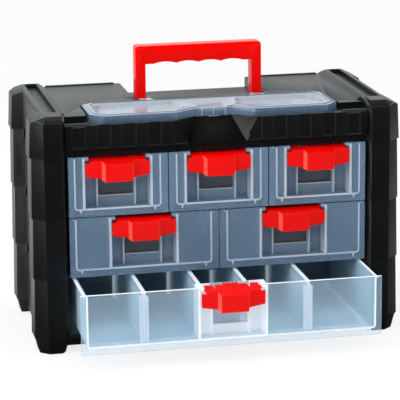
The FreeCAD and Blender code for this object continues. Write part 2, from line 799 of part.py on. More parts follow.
def make_clips():
    """Short clips across the seams of the side walls that hold the modules together."""
    piece = Piece("module_clips")
    for seam in (1, 2, 3):
        for side in (-1, 1):
            for end in (-1, 1):
                middle = "%d * (%s - column_side - side_bevel - clip_length)" % (end, HALF_DEPTH)
                inner = HALF_WIDTH + " - side_recess - (clip_thickness - clip_stand) + 0.1"
                x = on_side(side, inner, HALF_WIDTH + " - side_recess + clip_stand")
                y = ("%s - clip_length / 2 + 0.1" % middle, "%s + clip_length / 2 - 0.1" % middle)
                z = "base_height + %d * row_pitch" % seam
                add_box(piece, x, y, ("%s - clip_height / 2 + 0.1" % z, "%s + clip_height / 2 - 0.1" % z))
    return piece.finish()


def name_of(kind, row, index):
    """The name of a drawer or a latch; the bottom row holds only the wide drawer."""
    if row == "bottom":
        return kind + "_wide"
    return "%s_%s_%s" % (kind, row, PLACES[row][index])


def pulled_out(row):
    """The shift of a row's drawers: the wide one stands open."""
    return "0 - open_distance" if row == "bottom" else "0"


def box_half(row):
    """Half the width of a drawer's tray."""
    return "(%s / 2 - box_inset)" % face_width(row)


def drawer_section(row, shrink, low, high):
    """The tray of a drawer seen from the front, its lower corners rounded."""
    side = "(%s - %s)" % (box_half(row), shrink)
    corner = rounded(side, low, "(box_round - %s)" % shrink, 270)
    return mirrored([(side, high)] + corner[::-1])


def make_drawer(row, index):
    """A clear drawer: tray with a latch bay, flat front plate, side rims and runners."""
    piece = Piece(name_of("drawer", row, index), x=drawer_x(row, index), y=pulled_out(row), z=row_base(row))
    low = "(face_end_gap + box_lift)"
    high = "(row_pitch - face_end_gap - box_drop)"
    half = box_half(row)
    face_back = "(%s + face_thickness)" % FACE_Y
    back = "(%s + box_depth)" % face_back
    bay_back = "(%s + bay_depth)" % FACE_Y
    add_prism(piece, "XZ", drawer_section(row, "0", low, high), face_back, back)
    cut_prism(piece, "XZ", drawer_section(row, "box_wall", low + " + box_wall", high + " + 1"),
              face_back + " + box_wall", back + " - box_wall")
    add_box(piece, ("-(bay_width / 2 + box_wall)", "bay_width / 2 + box_wall"),
            (face_back, bay_back + " + box_wall"), (low, high))
    cut_box(piece, ("-(bay_width / 2)", "bay_width / 2"), (FACE_Y, bay_back), (low + " - 1", high + " + 1"))
    face = "(%s / 2)" % face_width(row)
    bottom = "face_end_gap"
    top = "(row_pitch - face_end_gap)"
    plate = [
        ("bay_width / 2", low),
        ("bay_width / 2", top),
        (face, top),
        (face, bottom),
    ]
    add_prism(piece, "XZ", mirrored(plate), FACE_Y, face_back)
    for side in (-1, 1):
        rim = on_side(side, half, half + " + rim_width")
        add_box(piece, rim, (face_back, back), (high + " - rim_thickness", high))
        runner = on_side(side, "%s - runner_inset - runner_width" % half, "%s - runner_inset" % half)
        add_box(piece, runner, (face_back, back), ("shelf + runner_gap", low + " + 0.5"))
        rib = on_side(side, "bay_rib_place", "bay_rib_place + bay_bar")
        add_box(piece, rib, (bay_back + " - bay_rib_depth", bay_back), (low, "nose_bottom - 3"))
        hole = on_side(side, "bay_width / 2 - 1", "bay_width / 2 + box_wall + 0.5")
        cut_rod(piece, "latch_pin_radius + pin_fit", hole,
                FACE_Y + " + latch_axis_inset", top + " - latch_axis_drop")
    add_box(piece, ("0 - bay_rib_place", "bay_rib_place"), (bay_back + " - bay_rib_depth", bay_back),
            ("bay_bar_height", "bay_bar_height + bay_bar"))
    if row == "bottom":
        for across in DIVIDERS:
            divider_grooves(piece, across, low, high)
    return piece.finish()


def divider_front(across):
    """Where a divider ends at the front: at the front wall, or at the back of the latch bay."""
    if abs(worth(across)) < worth("bay_width / 2 + divider_width / 2"):
        return "(%s + bay_depth + box_wall)" % FACE_Y
    return "(%s + face_thickness + box_wall)" % FACE_Y


def divider_grooves(piece, across, low, high):
    """Pairs of upright ribs at the front and back that hold a divider."""
    front = divider_front(across)
    back = "(%s + face_thickness + box_depth - box_wall)" % FACE_Y
    near = "divider_width / 2 + divider_gap"
    for side in (-1, 1):
        x = ["%s + (%s)" % (across, distance) for distance in on_side(side, near, near + " + groove_wall")]
        z = (low + " + box_wall - 0.5", high + " - 4")
        add_box(piece, x, (front + " - 0.5", front + " + groove_reach"), z)
        add_box(piece, x, (back + " - groove_reach", back + " + 0.5"), z)


def make_divider(across, number):
    """A removable divider of the wide drawer, moulded hollow like a long upturned trough."""
    name = "wide_drawer_divider_%d" % number
    piece = Piece(name, x=across, y=pulled_out("bottom"), z=row_base("bottom"))
    low = "(face_end_gap + box_lift + box_wall + divider_gap)"
    high = "(row_pitch - face_end_gap - box_drop)"
    front = divider_front(across) + " + divider_gap"
    back = "%s + face_thickness + box_depth - box_wall - divider_gap" % FACE_Y
    add_box(piece, ("0 - divider_width / 2", "divider_width / 2"), (front, back), (low, high))
    cut_box(piece, ("divider_skin - divider_width / 2", "divider_width / 2 - divider_skin"),
            (front + " + divider_skin", back + " - divider_skin"), (low + " - 1", high + " - divider_skin"))
    return piece.finish()


def make_latch(row, index):
    """A drawer latch: wings across the bay, a bevelled nose to pull and a hooked top plate."""
    piece = Piece(name_of("latch", row, index), x=drawer_x(row, index), y=pulled_out(row), z=row_base(row))
    half = "(bay_width / 2 - latch_gap)"
    wing_y = "(%s - wing_stand)" % FACE_Y
    wings = [
        ("nose_half", "wing_bottom - 1"),
        (half, "wing_bottom + wing_taper"),
        (half, "wing_top"),
        ("nose_half", "wing_top + 1.5"),
    ]
    add_prism(piece, "XZ", mirrored(wings), wing_y, wing_y + " + wing_thickness")
    root = [("nose_root", "nose_root_bottom"), ("nose_root", "nose_root_top")]
    tip = [("nose_half", "nose_bottom"), ("nose_half", "nose_top")]
    add_loft(piece, "XZ", mirrored(root), wing_y + " + wing_thickness",
             mirrored(tip), FACE_Y + " - nose_stand")
    add_box(piece, ("0 - latch_plate_half", "latch_plate_half"),
            (wing_y + " + 0.5", FACE_Y + " + latch_plate_back"), ("latch_top - latch_plate", "latch_top"))
    hollow_root = [("nose_root - 2", "nose_root_bottom + 2"), ("nose_root - 2", "nose_root_top - 2.5")]
    hollow_tip = [("nose_half - 2", "nose_bottom + 2"), ("nose_half - 2", "nose_top - 2")]
    cut_loft(piece, "XZ", mirrored(hollow_root), wing_y + " + wing_thickness + 0.1",
             mirrored(hollow_tip), FACE_Y + " - nose_stand + 2")
    axis_y = "(%s + latch_axis_inset)" % FACE_Y
    axis_z = "(row_pitch - face_end_gap - latch_axis_drop)"
    for side in (-1, 1):
        arm = on_side(side, half + " - 2.2", half)
        add_box(piece, arm, (wing_y + " + 0.5", FACE_Y + " + latch_arm_back"),
                (axis_z + " - latch_pin_radius - 1.5", "latch_top - 0.3"))
        bridge = on_side(side, "latch_plate_half - 0.5", half + " - 2")
        add_box(piece, bridge, (wing_y + " + 0.5", FACE_Y + " + 4"), ("wing_top - 1", "latch_top - 1"))
        pin = on_side(side, half + " - 1", half + " + latch_pin_reach")
        add_rod(piece, "latch_pin_radius", pin, axis_y, axis_z)
    for step in range(int(worth("hook_count"))):
        across = "((%d / (hook_count - 1) - 0.5) * (2 * hook_half - hook_rib))" % step
        add_box(piece, ("%s - hook_rib / 2" % across, "%s + hook_rib / 2" % across),
                (FACE_Y + " + latch_plate_back - hook_length", FACE_Y + " + latch_plate_back + 0.6"),
                ("latch_top - 1.5", "latch_top + hook_rise"))
    return piece.finish()


def check(piece):
    """Stop if the finished piece has no valid shape."""
    if piece.Shape.isNull() or not piece.Shape.isValid():
        raise RuntimeError("%s has no valid shape" % piece.Label)


def build():
    fill_sheet()
    pieces = [make_base()]
    for row in ROWS:
        pieces.append(make_row(row))
    pieces += [make_cap(), make_tray(), make_lid(), make_lid_pins()]
    pieces += [make_grip(), make_grip_pins(), make_clips()]
    for row in ROWS:
        for index in range(len(PLACES[row])):
            pieces.append(make_drawer(row, index))
            pieces.append(make_latch(row, index))
    for number, across in enumerate(DIVIDERS, start=1):
        pieces.append(make_divider(across, number))
    DOC.recompute()
    for item in DOC.Objects:
        if "Invalid" in item.State or "Error" in item.State:
            raise RuntimeError("%s: %s" % (item.Label, item.State))
    for piece in pieces:
        check(piece)
    os.makedirs("parts", exist_ok=True)
    for piece in pieces:
        piece.Shape.exportStep("parts/%s.step" % piece.Label)


build()
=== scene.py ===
"""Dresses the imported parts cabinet: detailed pieces, moulded plastics, a stage and a camera."""

import math

import bmesh
import bpy
from bpy.props import FloatProperty, FloatVectorProperty, IntProperty, PointerProperty
from mathutils import Matrix, Vector


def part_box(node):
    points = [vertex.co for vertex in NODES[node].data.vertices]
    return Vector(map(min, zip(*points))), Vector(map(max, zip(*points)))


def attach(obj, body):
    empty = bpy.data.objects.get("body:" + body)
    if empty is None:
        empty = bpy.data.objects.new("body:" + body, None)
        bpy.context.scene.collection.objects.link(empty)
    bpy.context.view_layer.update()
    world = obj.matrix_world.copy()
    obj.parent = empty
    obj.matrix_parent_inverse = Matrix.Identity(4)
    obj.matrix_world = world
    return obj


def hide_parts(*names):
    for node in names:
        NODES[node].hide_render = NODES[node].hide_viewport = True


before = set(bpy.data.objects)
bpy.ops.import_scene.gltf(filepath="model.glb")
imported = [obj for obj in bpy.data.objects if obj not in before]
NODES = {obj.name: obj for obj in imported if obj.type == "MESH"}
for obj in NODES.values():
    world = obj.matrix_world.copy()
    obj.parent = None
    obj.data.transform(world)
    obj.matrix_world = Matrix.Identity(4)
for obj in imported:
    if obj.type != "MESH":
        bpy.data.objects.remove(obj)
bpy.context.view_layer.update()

bl_info = {
    "name": "Parts cabinet",
    "version": (1, 0, 0),
    "blender": (4, 5, 0),
    "location": "3D View > Sidebar > Cabinet",
    "description": "Builds the visible pieces, finishes and stage of a drawer cabinet for small parts",
    "category": "Object",
}

MM = 0.001
SIDES = (-1, 1)
PLACES = ("wide", "middle_left", "middle_right", "top_left", "top_centre", "top_right")

# Everything below is in millimetres, unless it says otherwise.

# Solids that belong together reach this far into each other, and trim stands this proud.
BITE = 0.4
LINE_RISE = 0.12
SKIN_RISE = 0.08

# A drawer, from its middle, its plate's front or its bottom.
SIDE_INSET = 6.5
FLOOR_RISE = 7
RIM_DROP = 1.2
CORNER = 4
CORNER_STEPS = 6
NARROW_DRAWER = 120
CASE_OPENING = 160
PLATE_OVER_GAP = 0.8
PLATE_OFF_CASE = -0.6
BAY_HALF = 34.75
BAY_DEPTH = 20
BAY_WALL = 3.1
RIB_PLACE = 19.5
RIB_THICK = 2
RIB_REACH = 9
RIB_TOP = 52
BAR_PLACE = 18.4
BAR_HALF = 0.8
BRACKET_IN = 31
BRACKET_DEPTH = 13.4
BRACKET_BASE = 61
SIDE_RIM = 2.6
RUNNER_PLACE = 7
RUNNER = ((-1.5, 0.6), (1.5, 0.6), (0.5, -3.8), (-0.5, -3.8))

# Dividers of the wide drawer, and the posts on both sides of their ends.
DIVIDERS = range(1, 5)
DIVIDER_STEP = 8
DIVIDER_WALL = 1.2
POSTS = ((-4.6, -2.5), (2.5, 4.6))
POST_BASE = 8.4

# A latch: across from its middle, back from the plate's front, up from the storey's seam.
WING = ((13.5, 40.4), (34.2, 44.0), (34.2, 59.0), (13.5, 58.4))
WING_LAYERS = ((-2.6, 1.6), (-1.2, 0.0), (-0.3, 0.0))
EAR = ((17, -2.4), (29.4, -2.4), (29.0, 12.0), (20.6, 12.0), (19.8, 4.0))
EAR_THICK = 2.6
TOP_SLAB = ((-17.0, -2.4), (17.0, -2.4), (18.7, 4.5), (16.6, 12.0), (-16.6, 12.0), (-18.7, 4.5))
SLAB_THICK = 2.4
NOSE_FRONT, NOSE_ROOT = -10.5, -2.0
NOSE_TOP = 58.7
SLAB_SLOPE = 0.2533
PIN_CENTRE = (7, 61)
PIN_RADIUS = 1.9
PIN_REACH = (28.5, 33.5)
COMB_HALF = 7.4
COMB_PROFILE = ((9, 61.0), (16.0, 61.6), (9, 63.9), (16.0, 63.6))
TOOTH_HALF = 0.75
# The flanks of the nose that get a paler red, a painted highlight, end this far across.
FLANK_END = 18
WING_FRONT = -2.2
SEAM_DROP = 0.5

# The lid over the tray, drawn from its top down.
LID_TAB = 3
LID_STEP = 0.9
LID_PANEL_BACK = -19.5
PANEL_LINING = 6.2
PANEL_SINK = 4.6
PANEL_COVER = 1.5
NOTCH_SLOPE = ((13.5, -48, -4.2), (13.5, -67, -4.2), (17.5, -36, 0.2), (17.5, -69, 0.2))
BACK_CHAMFER = ((-17, -0.9), (-11.5, -7.5), (-8, -7.5), (-8, 1), (-17, 1))
BACK_STRETCHES = ((-140, -70), (-54, 54), (70, 140))
LID_POSTS = (-13, 0, 13)
LID_FRONT = -72.3

# Trim of the cap, in the frame's own places; the right half where both are alike.
CREST = (
    (167.2, -76, 260), (186, -76, 260), (199.6, -76, 253.2), (167.2, -96.3, 260), (184.5, -96.3, 260),
    (199.5, -88.9, 253.0), (187.9, -99.9, 253.0), (167.2, -99.9, 253.0),
)
CREST_FOOT = 250
FRONT_LIP = ((-97.1, 246), (-94, 250.4), (-91.4, 250.4), (-91.4, 246))
REAR_RIM = ((93, 254), (93, 255.6), (98.5, 254), (98.5, 255.3))
FLUTES = range(-6, 6)
FLUTE_PITCH = 27.2
FLUTE_SHIFT = 6.7
FLUTE_EDGE = ((-1.4, -95.2), (0.1, -97.05), (0.1, -94.8))
FLUTE_SPAN = (224.6, 248.4)
FINGER_RECESS = 44
RECESS_BACK = ((30.4, -97.0, 222.6), (19.2, -71.6, 246.8), (30.4, -96.4, 222.0), (19.2, -70.9, 246.2))
RECESS_LEFT = (
    (-30.6, -97.0, 222.4), (-44.6, -97.0, 248.6), (-19.3, -71.6, 247.0),
    (-31.4, -97.0, 222.0), (-45.4, -96.8, 248.9), (-19.8, -70.8, 247.2),
)

# The handle's legs and the slanted ribs at both ends of its bar.
LEG = (59.7, 70.3)
LEG_PAD = 0.9
HATCH_PLACE = 64.6
HATCH_RIBS = 5
HATCH_PITCH = 1.9
HATCH_DROP = 16
HATCH_RIB = ((-3, 0), (3, 2.6), (3, 3.5), (-3, 0.9))

# Angles in degrees: below these, faces count as one flat face or an edge isn't rounded.
COPY_FLATNESS = 0.4
HULL_FLATNESS = 0.5
BOOLEAN_FLATNESS = 1
SHARP = 28
WELD = 2e-6  # metres

# The clear finishes: their colour in the settings, their roughness, how dense they look facing the eye
# and along their surface, how much paler their clouds are, their painted glow and their gloss.
# Besides the plain one and the lid's sides, they are paler or darker copies of one plastic: painted light
# on edges, bay sides, the drawn drawer and its bay window, painted shade at the back of the closed bays and
# a painted reflection of the sky on the lid's top; the milky one is partly the pale plastic itself.
CLEAR_FINISHES = {
    "clear_moulding": ("clear", 0.14, 0.34, 0.9, 1.3, 0, 0.5),
    "clear_moulding_edge": ("clear_edge", 0.22, 0.84, 0.97, 1.0, 0, 0.5),
    "clear_moulding_cheek": ("clear_cheek_brightened", 0.16, 0.5, 0.9, 1.15, 0, 0.5),
    "clear_moulding_window": ("clear_window_shaded", 0.12, 0.62, 0.9, 1.2, 0, 0.5),
    "clear_moulding_lit": ("clear_drawn", 0.16, 0.17, 0.9, 1.12, 0, 0.5),
    "clear_moulding_milky": ("clear_milky", 0.2, 0.76, 0.95, 1.0, 0.19, 0.5),
    "clear_moulding_lit_window": ("window_drawn_lit", 0.14, 0.42, 0.85, 1.1, 0, 0.5),
    "lid_moulding_sides": ("clear_lid", 0.08, 0.50, 0.95, 1.4, 0, 0.5),
    "lid_moulding_top": ("lid_top", 0.03, 0.50, 0.86, 1.1, 0, 1.0),
}
WHITE = (1, 1, 1, 1)
# Below: a grey and a paler red put on rounded edges, a painted highlight, and a paler black and red put on
# faces that look up, a painted sheen and a painted highlight.
EDGE_HIGHLIGHT_BLACK = (0.045, 0.048, 0.048, 1)
TOP_SHEEN_BLACK = (0.026, 0.036, 0.036, 1)
EDGE_HIGHLIGHT_RED = (1.0, 0.03, 0.02, 1)
TOP_HIGHLIGHT_RED = (1.0, 0.045, 0.036, 1)
MIRRORED_FLOOR = (0.05, 0.05, 0.05, 1)

# The stage, in metres: the camera's aim, the paper on the floor and the lamps.
AIM_HEIGHT = 0.130
AIM_ACROSS, AIM_UP = -0.000685, 0.005805
PAPER_HALF = 6.0
PAPER_FRONT, PAPER_BEND = -5.0, 3.6
BEND_RADIUS = 1.4
BEND_STEPS = 8
PAPER_TOP = 7.0
LAMPS = (
    ("over", (0.0, 0.1, 1.9), (0, 0, 0.1), (2.2, 1.6)),
    ("left", (-1.7, -0.7, 0.9), (0, 0, 0.13), (1.0, 1.2)),
    ("right", (1.9, -0.7, 0.9), (0, 0, 0.13), (1.2, 1.4)),
    ("front", (-0.4, -2.0, 1.9), (0, 0, 0.13), (1.6, 1.0)),
)


class CabinetSizes(bpy.types.PropertyGroup):
    """Sizes of the details that the pieces are given on top of the frame's dimensions."""

    case_rounding: FloatProperty(
        name="Case rounding", description="Radius on the edges of the black mouldings",
        default=0.7 * MM, min=0, unit="LENGTH")
    clear_rounding: FloatProperty(
        name="Clear rounding", description="Radius on the edges of the clear mouldings",
        default=0.5 * MM, min=0, unit="LENGTH")
    latch_rounding: FloatProperty(
        name="Latch rounding", description="Radius on the edges of the latches",
        default=0.55 * MM, min=0, unit="LENGTH")
    handle_rounding: FloatProperty(
        name="Handle rounding", description="Radius on the edges of the carrying handle",
        default=2.2 * MM, min=0, unit="LENGTH")
    plate: FloatProperty(
        name="Front plate", description="Thickness of a drawer's front plate",
        default=2.2 * MM, min=0, unit="LENGTH")
    wall: FloatProperty(
        name="Drawer wall", description="Thickness of a drawer's walls",
        default=1.6 * MM, min=0, unit="LENGTH")
    comb_teeth: IntProperty(
        name="Comb teeth", description="Small teeth at the back of each latch", default=5, min=2)


class CabinetColours(bpy.types.PropertyGroup):
    """Colours of the plastics, as linear values."""

    black: FloatVectorProperty(
        name="Black plastic", description="Case, cap and base", subtype="COLOR", size=4,
        default=(0.0030, 0.0034, 0.0034, 1))
    red: FloatVectorProperty(
        name="Red plastic", description="Latches and handle", subtype="COLOR", size=4,
        default=(0.84, 0.002, 0.0008, 1))
    # A paler red for the flanks of a latch's nose: a painted highlight.
    red_flank: FloatVectorProperty(
        name="Red flanks", description="Flanks of a latch's nose", subtype="COLOR", size=4,
        default=(0.95, 0.11, 0.08, 1))
    clear: FloatVectorProperty(
        name="Clear plastic", description="Closed drawers and the tray", subtype="COLOR", size=4,
        default=(0.21, 0.325, 0.47, 1))
    # A paler clear for edges and wall ends: painted light.
    clear_edge: FloatVectorProperty(
        name="Clear plastic edge", description="Edges of the clear mouldings", subtype="COLOR", size=4,
        default=(0.56, 0.65, 0.75, 1))
    # A paler clear for the shaded sides of a latch bay: painted light.
    clear_cheek_brightened: FloatVectorProperty(
        name="Bay sides", description="Plastic beside a latch bay", subtype="COLOR", size=4,
        default=(0.34, 0.49, 0.66, 1))
    # A darker clear for the back of a latch bay: painted shade.
    clear_window_shaded: FloatVectorProperty(
        name="Bay window", description="Back of a latch bay", subtype="COLOR", size=4,
        default=(0.14, 0.155, 0.19, 1))
    clear_drawn: FloatVectorProperty(
        name="Drawn drawer", description="The drawer that stands in the light", subtype="COLOR", size=4,
        default=(0.53, 0.75, 0.94, 1))
    # Milky plastic: pale as the posts are, and used as painted light on the drawn drawer's edges and bay,
    # with a painted glow.
    clear_milky: FloatVectorProperty(
        name="Milky plastic", description="Thick parts of the drawn drawer", subtype="COLOR", size=4,
        default=(0.84, 0.89, 0.94, 1))
    # A paler clear for the drawn drawer's bay window: painted light.
    window_drawn_lit: FloatVectorProperty(
        name="Drawn bay window", description="Back of the drawn drawer's latch bay", subtype="COLOR", size=4,
        default=(0.66, 0.84, 0.98, 1))
    clear_lid: FloatVectorProperty(
        name="Lid sides", description="The upright sides of the lid over the tray", subtype="COLOR", size=4,
        default=(0.13, 0.20, 0.31, 1))
    lid_top: FloatVectorProperty(
        name="Lid top", description="The lid's top, which mirrors the sky", subtype="COLOR", size=4,
        default=(0.40, 0.46, 0.52, 1))
    floor: FloatVectorProperty(
        name="Floor", description="Plain floor and backdrop", subtype="COLOR", size=4,
        default=(0.86, 0.86, 0.86, 1))


class CabinetStage(bpy.types.PropertyGroup):
    """Camera and lights."""

    azimuth: FloatProperty(
        name="Azimuth", description="Turn of the camera from the cabinet's front, to the right",
        default=math.radians(-11.874), subtype="ANGLE", unit="ROTATION")
    elevation: FloatProperty(
        name="Elevation", description="Height of the camera as an angle",
        default=math.radians(14.103), subtype="ANGLE", unit="ROTATION")
    roll: FloatProperty(
        name="Roll", description="Tilt of the picture", default=math.radians(-0.557),
        subtype="ANGLE", unit="ROTATION")
    distance: FloatProperty(
        name="Distance", description="From the camera to the point it looks at",
        default=2.3856, min=0.1, unit="LENGTH")
    lens: FloatProperty(
        name="Lens", description="Focal length on a 36 mm sensor, in millimetres",
        default=192.29, min=10)
    over: FloatProperty(name="Overhead light", description="Power of the large lamp above", default=22, min=0)
    left: FloatProperty(name="Left light", description="Power of the lamp on the left", default=20, min=0)
    right: FloatProperty(name="Right light", description="Power of the lamp on the right", default=6, min=0)
    front: FloatProperty(name="Front light", description="Power of the lamp by the camera", default=15, min=0)
    sky: FloatProperty(name="Sky", description="Strength of the even light all round", default=0.55, min=0)


def sizes():
    return bpy.context.scene.cabinet_sizes


def colours():
    return bpy.context.scene.cabinet_colours


def new_group(name, inputs, outputs):
    """A shader node group with named sockets; inputs are (name, type, default)."""
    group = bpy.data.node_groups.new(name, "ShaderNodeTree")
    for label, kind, default in inputs:
        socket = group.interface.new_socket(name=label, in_out="INPUT", socket_type="NodeSocket" + kind)
        socket.default_value = default
    for label, kind in outputs:
        group.interface.new_socket(name=label, in_out="OUTPUT", socket_type="NodeSocket" + kind)
    return group, group.nodes.new("NodeGroupInput"), group.nodes.new("NodeGroupOutput")


def add_node(tree, kind, **values):
    """A node with its properties and unlinked sockets set by name."""
    node = tree.nodes.new("ShaderNode" + kind)
    for key, value in values.items():
        if hasattr(node, key):
            setattr(node, key, value)
        else:
            node.inputs[key.replace("_", " ")].default_value = value
    return node


def math_node(tree, operation, first, second, clamp=False):
    node = tree.nodes.new("ShaderNodeMath")
    node.operation = operation
    node.use_clamp = clamp
    for socket, value in zip(node.inputs, (first, second)):
        if isinstance(value, (int, float)):
            socket.default_value = value
        else:
            tree.links.new(value, socket)
    return node.outputs[0]


def noise(tree, scale, detail, roughness):
    """A noise in the piece's own coordinates, its scale taken from a socket."""
    node = add_node(tree, "TexNoise", Detail=detail, Roughness=roughness)
    tree.links.new(add_node(tree, "TexCoord").outputs["Object"], node.inputs["Vector"])
    tree.links.new(scale, node.inputs["Scale"])
    return node.outputs["Fac"]


def moulded_grain(name):
    """Fine moulded grain: a height and a mask of slow cloudy variation."""
    group, start, end = new_group(
        name, [("Grain Scale", "Float", 1600.0), ("Cloud Scale", "Float", 9.0)],
        [("Height", "Float"), ("Cloud", "Float")])
    group.links.new(noise(group, start.outputs["Grain Scale"], 2.0, 0.6), end.inputs["Height"])
    group.links.new(noise(group, start.outputs["Cloud Scale"], 4.0, 0.55), end.inputs["Cloud"])
    return group


def rubbed_edge(name):
    """A mask of the rounded edges, for a painted highlight, from a rounded normal against the flat one."""
    group, start, end = new_group(name, [("Break Up", "Float", 60.0)], [("Mask", "Float")])
    rounded = add_node(group, "Bevel", samples=4, Radius=1.2 * MM)
    flat = add_node(group, "NewGeometry")
    dot = group.nodes.new("ShaderNodeVectorMath")
    dot.operation = "DOT_PRODUCT"
    group.links.new(rounded.outputs["Normal"], dot.inputs[0])
    group.links.new(flat.outputs["Normal"], dot.inputs[1])
    turned = math_node(group, "SUBTRACT", 1.0, dot.outputs["Value"])
    sharp = math_node(group, "MULTIPLY", turned, 6.0, clamp=True)
    patches = noise(group, start.outputs["Break Up"], 5.0, 0.7)
    group.links.new(math_node(group, "MULTIPLY", sharp, patches, clamp=True), end.inputs["Mask"])
    return group


def upward_faces(name):
    """A mask of the faces that look up, for a painted sheen where they catch the light."""
    group, start, end = new_group(name, [("Break Up", "Float", 24.0)], [("Mask", "Float")])
    parts = add_node(group, "SeparateXYZ")
    group.links.new(add_node(group, "NewGeometry").outputs["Normal"], parts.inputs[0])
    lifted = math_node(group, "SUBTRACT", parts.outputs["Z"], 0.7)
    upward = math_node(group, "MULTIPLY", lifted, 6.0, clamp=True)
    uneven = math_node(group, "ADD", noise(group, start.outputs["Break Up"], 4.0, 0.6), 0.5)
    group.links.new(math_node(group, "MULTIPLY", upward, uneven, clamp=True), end.inputs["Mask"])
    return group


GROUPS = {"moulded_grain": moulded_grain, "rubbed_edge": rubbed_edge, "upward_faces": upward_faces}


def placed_group(tree, name, **values):
    """A node of a group, which is made on first use."""
    node = tree.nodes.new("ShaderNodeGroup")
    node.node_tree = bpy.data.node_groups.get(name) or GROUPS[name](name)
    for key, value in values.items():
        node.inputs[key.replace("_", " ")].default_value = value
    return node


def new_material(name):
    material = bpy.data.materials.new(name)
    material.use_nodes = True
    shader = material.node_tree.nodes["Principled BSDF"]
    return material, material.node_tree, shader


def spread(tree, value, first, last, start=0.0, end=1.0):
    """Maps a value between start and end on to another range, and holds it there beyond them."""
    node = tree.nodes.new("ShaderNodeMapRange")
    tree.links.new(value, node.inputs["Value"])
    for name, number in (("From Min", start), ("From Max", end), ("To Min", first), ("To Max", last)):
        node.inputs[name].default_value = number
    return node.outputs["Result"]


def blended(tree, factor, first, second):
    """A colour between two others; each is a socket or a colour."""
    node = tree.nodes.new("ShaderNodeMix")
    node.data_type = "RGBA"
    tree.links.new(factor, node.inputs["Factor"])
    for socket, value in ((node.inputs[6], first), (node.inputs[7], second)):
        if hasattr(value, "is_linked"):
            tree.links.new(value, socket)
        else:
            socket.default_value = value
    return node.outputs[2]


def mixed_shaders(tree, factor, first, second, output):
    """Joins two shaders by a factor and leads them to the output."""
    mix = tree.nodes.new("ShaderNodeMixShader")
    for value, socket in zip((factor, first, second), mix.inputs):
        tree.links.new(value, socket)
    tree.links.new(mix.outputs[0], output.inputs["Surface"])


def scaled(colour, *factors):
    """A colour with its channels multiplied, by one factor or by three, and held below 1."""
    factors = factors * 3 if len(factors) == 1 else factors
    return tuple(min(channel * factor, 1) for channel, factor in zip(colour[:3], factors)) + (1,)


def finish_surface(tree, shader, grain, rough, strength=0, depth=0):
    """Sets a roughness that varies in clouds and, with a strength, the relief of the moulded grain."""
    tree.links.new(spread(tree, grain.outputs["Cloud"], *rough), shader.inputs["Roughness"])
    if not strength:
        return
    bump = add_node(tree, "Bump", Strength=strength, Distance=depth)
    tree.links.new(grain.outputs["Height"], bump.inputs["Height"])
    tree.links.new(bump.outputs["Normal"], shader.inputs["Normal"])


def set_shine(shader, index, level):
    shader.inputs["IOR"].default_value = index
    shader.inputs["Specular IOR Level"].default_value = level


def black_plastic():
    """Matt black with a spark-eroded grain, paler on top as a painted sheen and slightly greyed on rounded
    edges as a painted highlight.
    """
    name = "black_moulding"
    if name in bpy.data.materials:
        return bpy.data.materials[name]
    material, tree, shader = new_material(name)
    grain = placed_group(tree, "moulded_grain", Grain_Scale=1500.0, Cloud_Scale=14.0)
    edge = placed_group(tree, "rubbed_edge", Break_Up=45.0)
    base = tuple(colours().black)
    body = blended(tree, grain.outputs["Cloud"], base, scaled(base, 1.6))
    # A painted sheen: faces that look up turn a paler black.
    upward = placed_group(tree, "upward_faces", Break_Up=24.0)
    body = blended(tree, upward.outputs["Mask"], body, TOP_SHEEN_BLACK)
    # A painted highlight: rounded edges turn grey, in patches.
    faint = math_node(tree, "MULTIPLY", edge.outputs["Mask"], 0.5)
    tree.links.new(blended(tree, faint, body, EDGE_HIGHLIGHT_BLACK), shader.inputs["Base Color"])
    finish_surface(tree, shader, grain, rough=(0.34, 0.46), strength=0.2, depth=0.15 * MM)
    set_shine(shader, 1.49, 0.3)
    return material


def black_matt():
    """The same black where it is coarse and shows no shine, inside the finger recess."""
    material, tree, shader = new_material("black_moulding_coarse")
    grain = placed_group(tree, "moulded_grain", Grain_Scale=900.0, Cloud_Scale=30.0)
    base = tuple(colours().black)
    body = blended(tree, grain.outputs["Cloud"], base, scaled(base, 1.5))
    tree.links.new(body, shader.inputs["Base Color"])
    finish_surface(tree, shader, grain, rough=(0.75, 0.9), strength=0.25, depth=0.2 * MM)
    set_shine(shader, 1.5, 0.08)
    return material


def red_material(name, base, gloss, top=None):
    """Glossy red, its surface faintly uneven, duller in clouds, with a painted highlight on rounded edges;
    the top may have a paler colour, a painted highlight.
    """
    if name in bpy.data.materials:
        return bpy.data.materials[name]
    material, tree, shader = new_material(name)
    grain = placed_group(tree, "moulded_grain", Grain_Scale=700.0, Cloud_Scale=26.0)
    edge = placed_group(tree, "rubbed_edge", Break_Up=30.0)
    body = blended(tree, grain.outputs["Cloud"], tuple(base), scaled(base, 0.93, 0.8, 0.8))
    # A painted highlight: where a top colour is given, faces that look up take it.
    if top:
        upward = placed_group(tree, "upward_faces", Break_Up=24.0)
        body = blended(tree, upward.outputs["Mask"], body, top)
    # A painted highlight: rounded edges turn a paler red, in patches.
    faint = math_node(tree, "MULTIPLY", edge.outputs["Mask"], 0.45)
    tree.links.new(blended(tree, faint, body, EDGE_HIGHLIGHT_RED), shader.inputs["Base Color"])
    finish_surface(tree, shader, grain, rough=(0.17, 0.26), strength=0.05, depth=0.06 * MM)
    set_shine(shader, 1.5, gloss)
    return material


def red_handle():
    """The handle's red, fuller than the latches' as painted light where the handle gets less light, and paler
    on top as a painted highlight.
    """
    return red_material("red_moulding_handle", scaled(colours().red, 1.18, 1, 1), gloss=0.1, top=TOP_HIGHLIGHT_RED)


